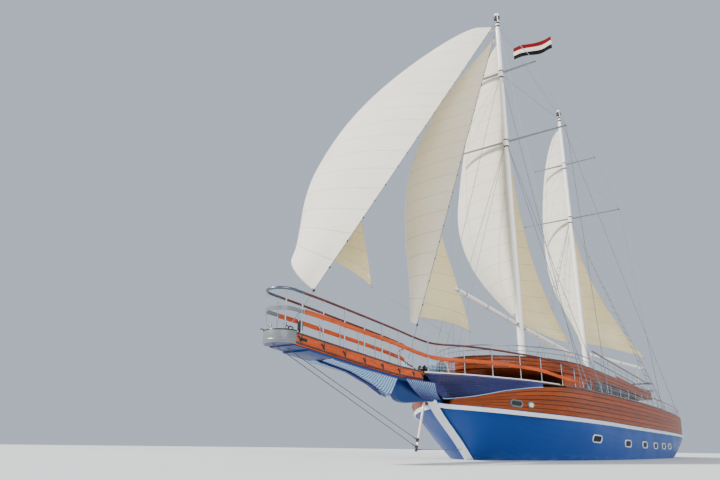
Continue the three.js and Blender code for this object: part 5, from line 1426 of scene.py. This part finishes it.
def shrouds():
    """Shrouds, their chainplates and screws, and the ratlines tied across the mizzen's."""
    for m, name, feet in ((MAIN, "main", (9.45, 8.9, 7.4)), (MIZZEN, "mizzen", (-2.5, -3.6, -4.2))):
        c, hound = m["x"], m["top"] - 0.42
        (low_z, low_span), (high_z, high_span) = SPREADERS[name]
        for sign, side in NAMED_SIDES:
            k = Piece()
            z = low_z - 0.26
            r = mast_radius(m, z)
            tops = [Vector((c + 0.07, sign * 0.06, high_z - 0.17 if name == "main" else low_z - 0.2))]
            tops += [Vector((c + min(1, (x - c) / 3) * r * 0.8, sign * r * 0.7, z)) for x in feet[1:]]
            lines = [(shroud_foot(x, sign), top) for x, top in zip(feet, tops)]
            for foot, top in lines:
                wire(k, foot, top, screw=1)
            foot = shroud_foot(c, sign)
            low_tip = Vector((c, sign * (low_span - 0.01), low_z))
            high_tip = Vector((c, sign * (high_span - 0.01), high_z))
            head = Vector((c, sign * mast_radius(m, hound) * 0.9, hound))
            k.tube([foot, foot.lerp(low_tip, 0.5), low_tip, high_tip, head], 0.012)
            turnbuckle(k, foot, low_tip)
            k.tube([low_tip, Vector((c, sign * mast_radius(m, high_z) * 0.8, high_z - 0.17))], 0.007)
            for x in (*feet, c):
                chainplate(k, x, sign)
                y, z = sign * (cap_half(x) + 0.12), cap_z(x) + 0.058
                k.upright(x, y, z, z + 0.06, [(0, 0.022), (0.3, 0.018), (1, 0.011)], 1, 12)
            if name == "mizzen":
                ratlines(k, lines[0], lines[2])
            if name == "mizzen" and side == "port":
                wire(k, shroud_foot(-9.0, 1), Vector((c - 0.05, 0.06, hound)), screw=1)
                chainplate(k, -9.0, 1)
            node, looks = f"{name}_shrouds_{side}", [WIRE, STEEL, LINE]
            k.done(f"{node}_wires", looks, slot="rigging_wire", replaces=node, sharp=60)


def running_lines():
    """Sheet of the outer jib, the lines under the inner jib, and each boom's topping lift and sheet."""
    k = Piece()
    fixed = [
        ((14.44, -2.44, 5.69), (3.0, -2.85, 4.35), (-8.0, -3.22, 2.46)),
        ((8.98, -1.29, 4.84), (7.6, -1.9, 3.9), (6.4, -2.6, 3.42)),
        ((12.6, -0.62, 4.30), (12.75, -0.45, 3.3), (12.9, -0.3, 2.46)),
        ((13.5, -0.5, 4.15), (13.3, -0.3, 3.3), (13.1, -0.1, 2.46)),
        ((14.9, -0.2, 3.95), (14.3, 0.1, 3.2), (13.9, 0.3, 2.46)),
    ]
    for path in fixed:
        k.tube(curve_through(path, 0.5), 0.010, 0, 6)
    k.done("running_lines", LINE, slot="rigging_wire")
    for name, m, foot in (("main_boom", MAIN, (-1.4, -0.4, 3.1)), ("mizzen_boom", MIZZEN, (-11.0, 1.0, 1.4))):
        pin, along, length, _ = boom_axis(name)
        lift, tail = Piece(), Piece()
        head, end = Vector((m["x"] - 0.16, 0, m["top"] - 0.5)), pin + along * length * 0.975 + UP * 0.09
        lift.tube(between(head, end, 14), 0.009, 0, 6)
        lift.done(f"{name}_lift", LINE, slot="rigging_wire", blend=("root", name, tuple(head), tuple(end)))
        grip = pin + along * length * 0.86 - UP * 0.11
        for apart in (0.03, -0.03):
            tail.tube(between(Vector(foot) + Vector((0, apart, 0)), grip, 14), 0.009, 0, 6)
        tail.done(f"{name}_sheet", LINE, slot="rigging_wire", blend=("root", name, foot, tuple(grip)))


def striker():
    """The spar below the stem head, with the three wires that stay it."""
    k = Piece()
    spar = [(0, 0.03), (0.03, 0.037), (0.06, 0.037), (0.5, 0.034), (0.9, 0.029), (0.93, 0.034), (0.97, 0.034)]
    k.lathe((15.2, 0, 1.655), (15.74, 0, 0.23), spar + [(1, 0.024)], 2, 20)
    wires = (((15.705, 0, 0.37), (21.85, 0, 2.437)), ((15.64, 0, 0.56), (21.44, 0, 2.427)))
    half = Vector((0.02, 0, -0.045))
    for p, q in (*wires, ((15.73, 0, 0.3), (12.75, 0, 0.33))):
        wire(k, p, q, 0.0095, 0.8)
        k.lathe(Vector(p) - half, Vector(p) + half, barrel(0.036, 0.042), 1, 18)
    looks = [DARK_WIRE, BLACK, STRIKER_PAINT]
    k.done("striker_gear", looks, slot="rigging_wire", replaces="dolphin_striker", sharp=50)


# Sails and flag

SAILS = {  # luff (low, high), clew, sweep of the luff and leech, and the shape of the belly
    "jib_outer": dict(
        stay=STAY_OUTER, z=(3.91, 20.3), clew=(14.44, -2.44, 5.71), luff=2.58, ahead=0.87, leech=2.13,
        lean=1.24, drift=2.93, hollow=1.05, high=1.08, foot=0.48, shelf=0.33, rise=1.30, tip=0.265),
    "jib_inner": dict(
        stay=STAY_INNER, z=(3.9, 19.75), clew=(8.94, -1.29, 4.86), luff=3.93, ahead=0.05, leech=1.96,
        lean=1.465, drift=2.17, hollow=1.07, high=1.19, foot=0.27, shelf=0.5, rise=0.51, tip=0.84),
    "main_sail": dict(
        mast=MAIN, z=(5.9, 19.9), clew=(-1.98, -0.44, 5.88), luff=4.91, ahead=-0.01, leech=5.08, lean=0.89,
        drift=0.97, hollow=0.26, high=0.83, foot=0.24, shelf=0.43, rise=0.24, tip=0.63),
    "mizzen_sail": dict(
        mast=MIZZEN, z=(5.9, 19.6), clew=(-12.13, 1.49, 6.14), luff=3.36, ahead=-0.22, leech=3.17,
        lean=0.86, drift=1.58, hollow=0.24, high=0.92, foot=0.34, shelf=0.41, rise=0.52, tip=0.46),
}
SHEETED = {"main_sail": "main_boom", "mizzen_sail": "mizzen_boom"}
CLOTH = 0.006


def on_stay(s, z):
    """Station of a jib's stay at a height."""
    (x0, _, z0), (x1, _, z1) = s["stay"]
    return x0 + (x1 - x0) * (z - z0) / (z1 - z0)


def luff_ends(s):
    """A sail's lower and upper corner at its stay or mast."""
    out = []
    for z in s["z"]:
        if "stay" in s:
            out.append(Vector((on_stay(s, z), -0.0136, z)))
        else:
            out.append(Vector((s["mast"]["x"] - mast_radius(s["mast"], z) - 0.0116, 0, z)))
    return out


def sail_point(s, u, v):
    """A sail's middle surface: u runs from the luff to the leech, v from the foot to the head."""
    tack, head = luff_ends(s)
    clew, head_aft = Vector(s["clew"]), head + Vector((-0.22, 0, -0.03))
    luff = tack.lerp(head, v)
    belly = math.sin(math.pi * v ** s["high"]) * Vector((s["hollow"], -s["drift"], 0))
    leech = clew.lerp(head_aft, v) + belly
    shelf = s["foot"] + (1 - s["foot"]) * (math.sin(v / s["shelf"] * math.pi / 2) if v < s["shelf"] else 1)
    depth = (1 - v) ** s["tip"] * shelf if v < 1 else 0
    rise = UP * s["rise"] * max(0, 1 - v / 0.25) ** 2
    p1 = luff + depth * s["luff"] * Vector((s["ahead"], -1, 0)) + rise
    p2 = leech + depth * s["leech"] * Vector((s["lean"], -1, 0)) + rise
    w = 1 - u
    return w ** 3 * luff + 3 * w * w * u * p1 + 3 * w * u * u * p2 + u ** 3 * leech


def normals_of(g):
    """Normals of a grid of points, and their lengths before they are made one long."""
    n = np.cross(np.gradient(g, axis=1), np.gradient(g, axis=0))
    length = np.linalg.norm(n, axis=2, keepdims=True)
    return n / np.maximum(length, 1e-9), length


def hanks_of(s):
    """How many spaces there are between a sail's hanks or slides."""
    return 20 if "stay" in s else 17


def sail(s, columns=44, rows=90):
    """A single closed cloth, with puckers at the hanks, creases to the clew and slack near the leech."""
    us, vs = np.linspace(0, 1, columns + 1), np.linspace(0, 1, rows + 1)
    g = np.array([[tuple(sail_point(s, float(u), float(v))) for u in us] for v in vs])
    n, length = normals_of(g)
    for i, v in enumerate(vs):
        for j, u in enumerate(us):
            fade = min(1, u / 0.02) * min(1, (1 - u) / 0.02) * min(1, v / 0.015) * min(1, (1 - v) / 0.03)
            pucker = 0.030 * math.exp(-u / 0.055) * abs(math.sin(math.pi * hanks_of(s) * v)) ** 0.6
            ripple = 0.020 * math.exp(-(1 - u) / 0.09) * math.sin(2 * math.pi * 9 * v + 4 * u)
            foot = 0.022 * math.exp(-v / 0.03) * math.sin(2 * math.pi * 7 * u)
            to_clew = math.hypot((1 - u), v * 2.2)
            crease = 0.018 * math.exp(-to_clew / 0.35) * math.sin(16 * math.atan2(v * 2.2, 1 - u + 1e-6))
            relief = pucker + ripple + foot + crease
            g[i, j] += n[i, j] * fade * relief * min(1, length[i, j, 0] / 0.002)
    k = Piece()
    k.cloth(g, n, CLOTH, us, vs, 1)
    return k, g


def cloth_size(g):
    """(foot length, luff length, area) of a sail from its middle surface."""
    def long(line):
        return float(np.linalg.norm(np.diff(line, axis=0), axis=1).sum())
    a, b, c, d = g[:-1, :-1], g[:-1, 1:], g[1:, 1:], g[1:, :-1]
    halves = (np.cross(b - a, c - a), np.cross(c - a, d - a))
    area = 0.5 * sum(np.linalg.norm(half, axis=2) for half in halves).sum()
    return round(max(long(row) for row in g), 2), round(long(g[:, 0]), 2), round(float(area), 1)


def set_sails():
    """Every sail with its bolt rope and fittings."""
    for name, s in SAILS.items():
        k, g = sail(s)
        blend = None
        if name in SHEETED:
            blend = ("root", SHEETED[name], tuple(luff_ends(s)[0]), s["clew"])
        # The first look, on the face the normals point to, is the tan copy painted as shade; the other face
        # has the cream cloth.
        looks = [SAIL_SHADED, SAIL]
        obj = k.done(f"{name}_cloth", looks, slot="sailcloth", replaces=name, sharp=60, blend=blend)
        wide, tall, area = cloth_size(g)
        trim = Piece()
        for edge, radius in ((g[:, 0], 0.012), (g[0], 0.012), (g[:, -1], 0.010)):
            trim.tube(edge[::3], radius, 0, 6)
        trim.done(f"{name}_bolt_rope", LINE, slot="sailcloth", sharp=180, blend=blend)
        fittings(name, s, g, blend)


def fittings(name, s, g, blend):
    """Hanks or slides up the luff, and the corner rings."""
    k = Piece()
    rows = len(g) - 1
    for n in range(hanks_of(s) + 1):
        p = Vector(g[min(rows, int(round(n / hanks_of(s) * rows))), 0])
        if "stay" in s:
            low, high = map(Vector, s["stay"])
            half = (high - low).normalized() * 0.035
            on = Vector((on_stay(s, p.z), 0, p.z))
            k.lathe(on - half, on + half, barrel(0.014, 0.02, 0.15), 0, 12)
        else:
            mast_x = s["mast"]["x"] - mast_radius(s["mast"], p.z)
            k.block((p.x - 0.035, -0.012, p.z - 0.035), (mast_x + 0.004, 0.012, p.z + 0.035), 0, 0.004)
    k.done(f"{name}_hanks", DARK_METAL, slot="steel")
    k = Piece()
    for u, v, size in ((1.0, 0.0, 0.06), (0.0, 0.0, 0.045), (0.5, 1.0, 0.04)):
        i, j = int(v * rows), int(u * (g.shape[1] - 1))
        p, q = Vector(g[i, j]), Vector(g[i + 2 if i < rows else i - 2, j])
        way = (q - p).normalized()
        k.ring(p, way, way.cross(Vector((0, 1, 0))).normalized(), size, 0.010, count=16)
    k.done(f"{name}_corner_rings", STEEL, slot="steel", blend=blend)


def flag():
    """A waving flag below the wire between the mastheads, with its halyard."""
    s, t = np.linspace(0, 1, 60), np.linspace(0, 1, 25)
    drop, fly, head = 0.7, 2.05, (4.505, 20.76)

    def middle(a, b):
        wave = 0.09 * math.sin(7 * a) + 0.03 * math.sin(13 * a + 2.2 * b) * a - 0.06 * a * b
        return (head[0] + wave, fly * a, head[1] - 0.12 * a - drop * b + 0.02 * math.sin(9 * a) * a)
    g = np.array([[middle(float(a), float(b)) for a in s] for b in t])
    k = Piece()
    k.cloth(g, normals_of(g)[0], 0.004, s, 1 - t, 0)
    obj = k.done("flag_cloth", FLAG, slot="flag_cloth", replaces="flag", sharp=60)
    line = Piece()
    line.tube([(4.505, 0, 20.80), (4.503, 0, 20.4), (4.505, 0, 20.0)], 0.006, 0, 6)
    line.done("flag_halyard", LINE, slot="rigging_wire")


# Everything together, in this order
BUILD = (
    hull_shell, stem, rub_rail, bulwarks, caps, portholes, platform, nose, girder, platform_net,
    flare_nets, stem_nets, bow_rails, deck_edges, fascia, sun_deck_rails, side_rails, soffit, windlass,
    windows, fanlights, arches, saloon_trim, masts, booms, stays, shrouds, striker, running_lines,
    set_sails, flag,
)
for build in BUILD:
    build()

LOOKS = (
    (BLUE_SHADED, ("keel", "rudder")),
    (BRONZE, ("propeller",)),
    (TEAK, ("main_deck", "foredeck", "sun_deck")),
    (LIGHT_PLANKS, ("forecastle_bulkhead", "saloon_side_port", "saloon_side_starboard", "saloon_front",
                    "saloon_aft", "side_panel_port", "side_panel_starboard")),
    (ORANGE, ("saloon_door",)),
    (GLASS, ("saloon_glass_port", "saloon_glass_starboard", "saloon_glass_front")),
)
for material, names in LOOKS:
    for name in names:
        slots = CAD[name].material_slots
        for slot in slots:
            slot.material = material
        if not len(slots):
            CAD[name].data.materials.append(material)

# The camera stands off the port bow, low over the water, and looks up at the boat
AFT, PITCH, TRIM = math.radians(34.9), math.atan(196 / 600), math.radians(1.2)
heading = Vector((-math.cos(AFT), -math.sin(AFT), 0))
right = Vector((heading.y, -heading.x, 0))
forward = heading * math.cos(PITCH) + UP * math.sin(PITCH)
upward = -heading * math.sin(PITCH) + UP * math.cos(PITCH)
level = Matrix(((math.cos(TRIM), 0, math.sin(TRIM)), (0, 1, 0), (-math.sin(TRIM), 0, math.cos(TRIM))))
right, upward, back, spot = (level @ v for v in (right, upward, -forward, Vector((31.4, 9.0, 1.0))))

camera = bpy.data.objects.new("camera", bpy.data.cameras.new("camera"))
camera.data.lens = 30.0
camera.data.sensor_width = 36.0
camera.data.clip_end = 500.0
camera.matrix_world = Matrix((*zip(right, upward, back, spot), (0, 0, 0, 1)))
bpy.context.scene.collection.objects.link(camera)
bpy.context.scene.camera = camera

# Floor and light
FLOOR_REACH = 150
floor_look = Look("pale_floor", (0.62, 0.64, 0.66), 0.7)
cloud = floor_look.noise(floor_look.object, 0.08, 3.0)
floor_look.paint(floor_look.mix(cloud, (0.60, 0.62, 0.64), (0.66, 0.67, 0.68)))
floor, marks = Piece(), np.linspace(-FLOOR_REACH, FLOOR_REACH, 7)
floor.grid([[(x, y, 0) for y in marks] for x in marks])
mesh = bpy.data.meshes.new("floor")
mesh.from_pydata(floor.v, [], floor.f)
mesh.materials.append(floor_look.m)
ground = bpy.data.objects.new("floor", mesh)
bpy.context.scene.collection.objects.link(ground)


def sunlight(name, way, energy, spread, color):
    """A sun that shines from the given direction."""
    sun = bpy.data.objects.new(name, bpy.data.lights.new(name, "SUN"))
    sun.data.energy = energy
    sun.data.angle = math.radians(spread)
    sun.data.color = color
    sun.matrix_world = Vector(way).to_track_quat("Z", "Y").to_matrix().to_4x4()
    bpy.context.scene.collection.objects.link(sun)


sunlight("sun", (0.8, -0.75, 0.9), 6.8, 5, (1.0, 0.96, 0.88))
sunlight("fill", (0.6, 0.9, 0.45), 2.6, 40, (1.0, 0.97, 0.92))
world = bpy.data.worlds.new("studio")
bpy.context.scene.world = world
world.use_nodes = True
world.node_tree.nodes["Background"].inputs[0].default_value = (0.50, 0.58, 0.68, 1)
world.node_tree.nodes["Background"].inputs[1].default_value = 1.0
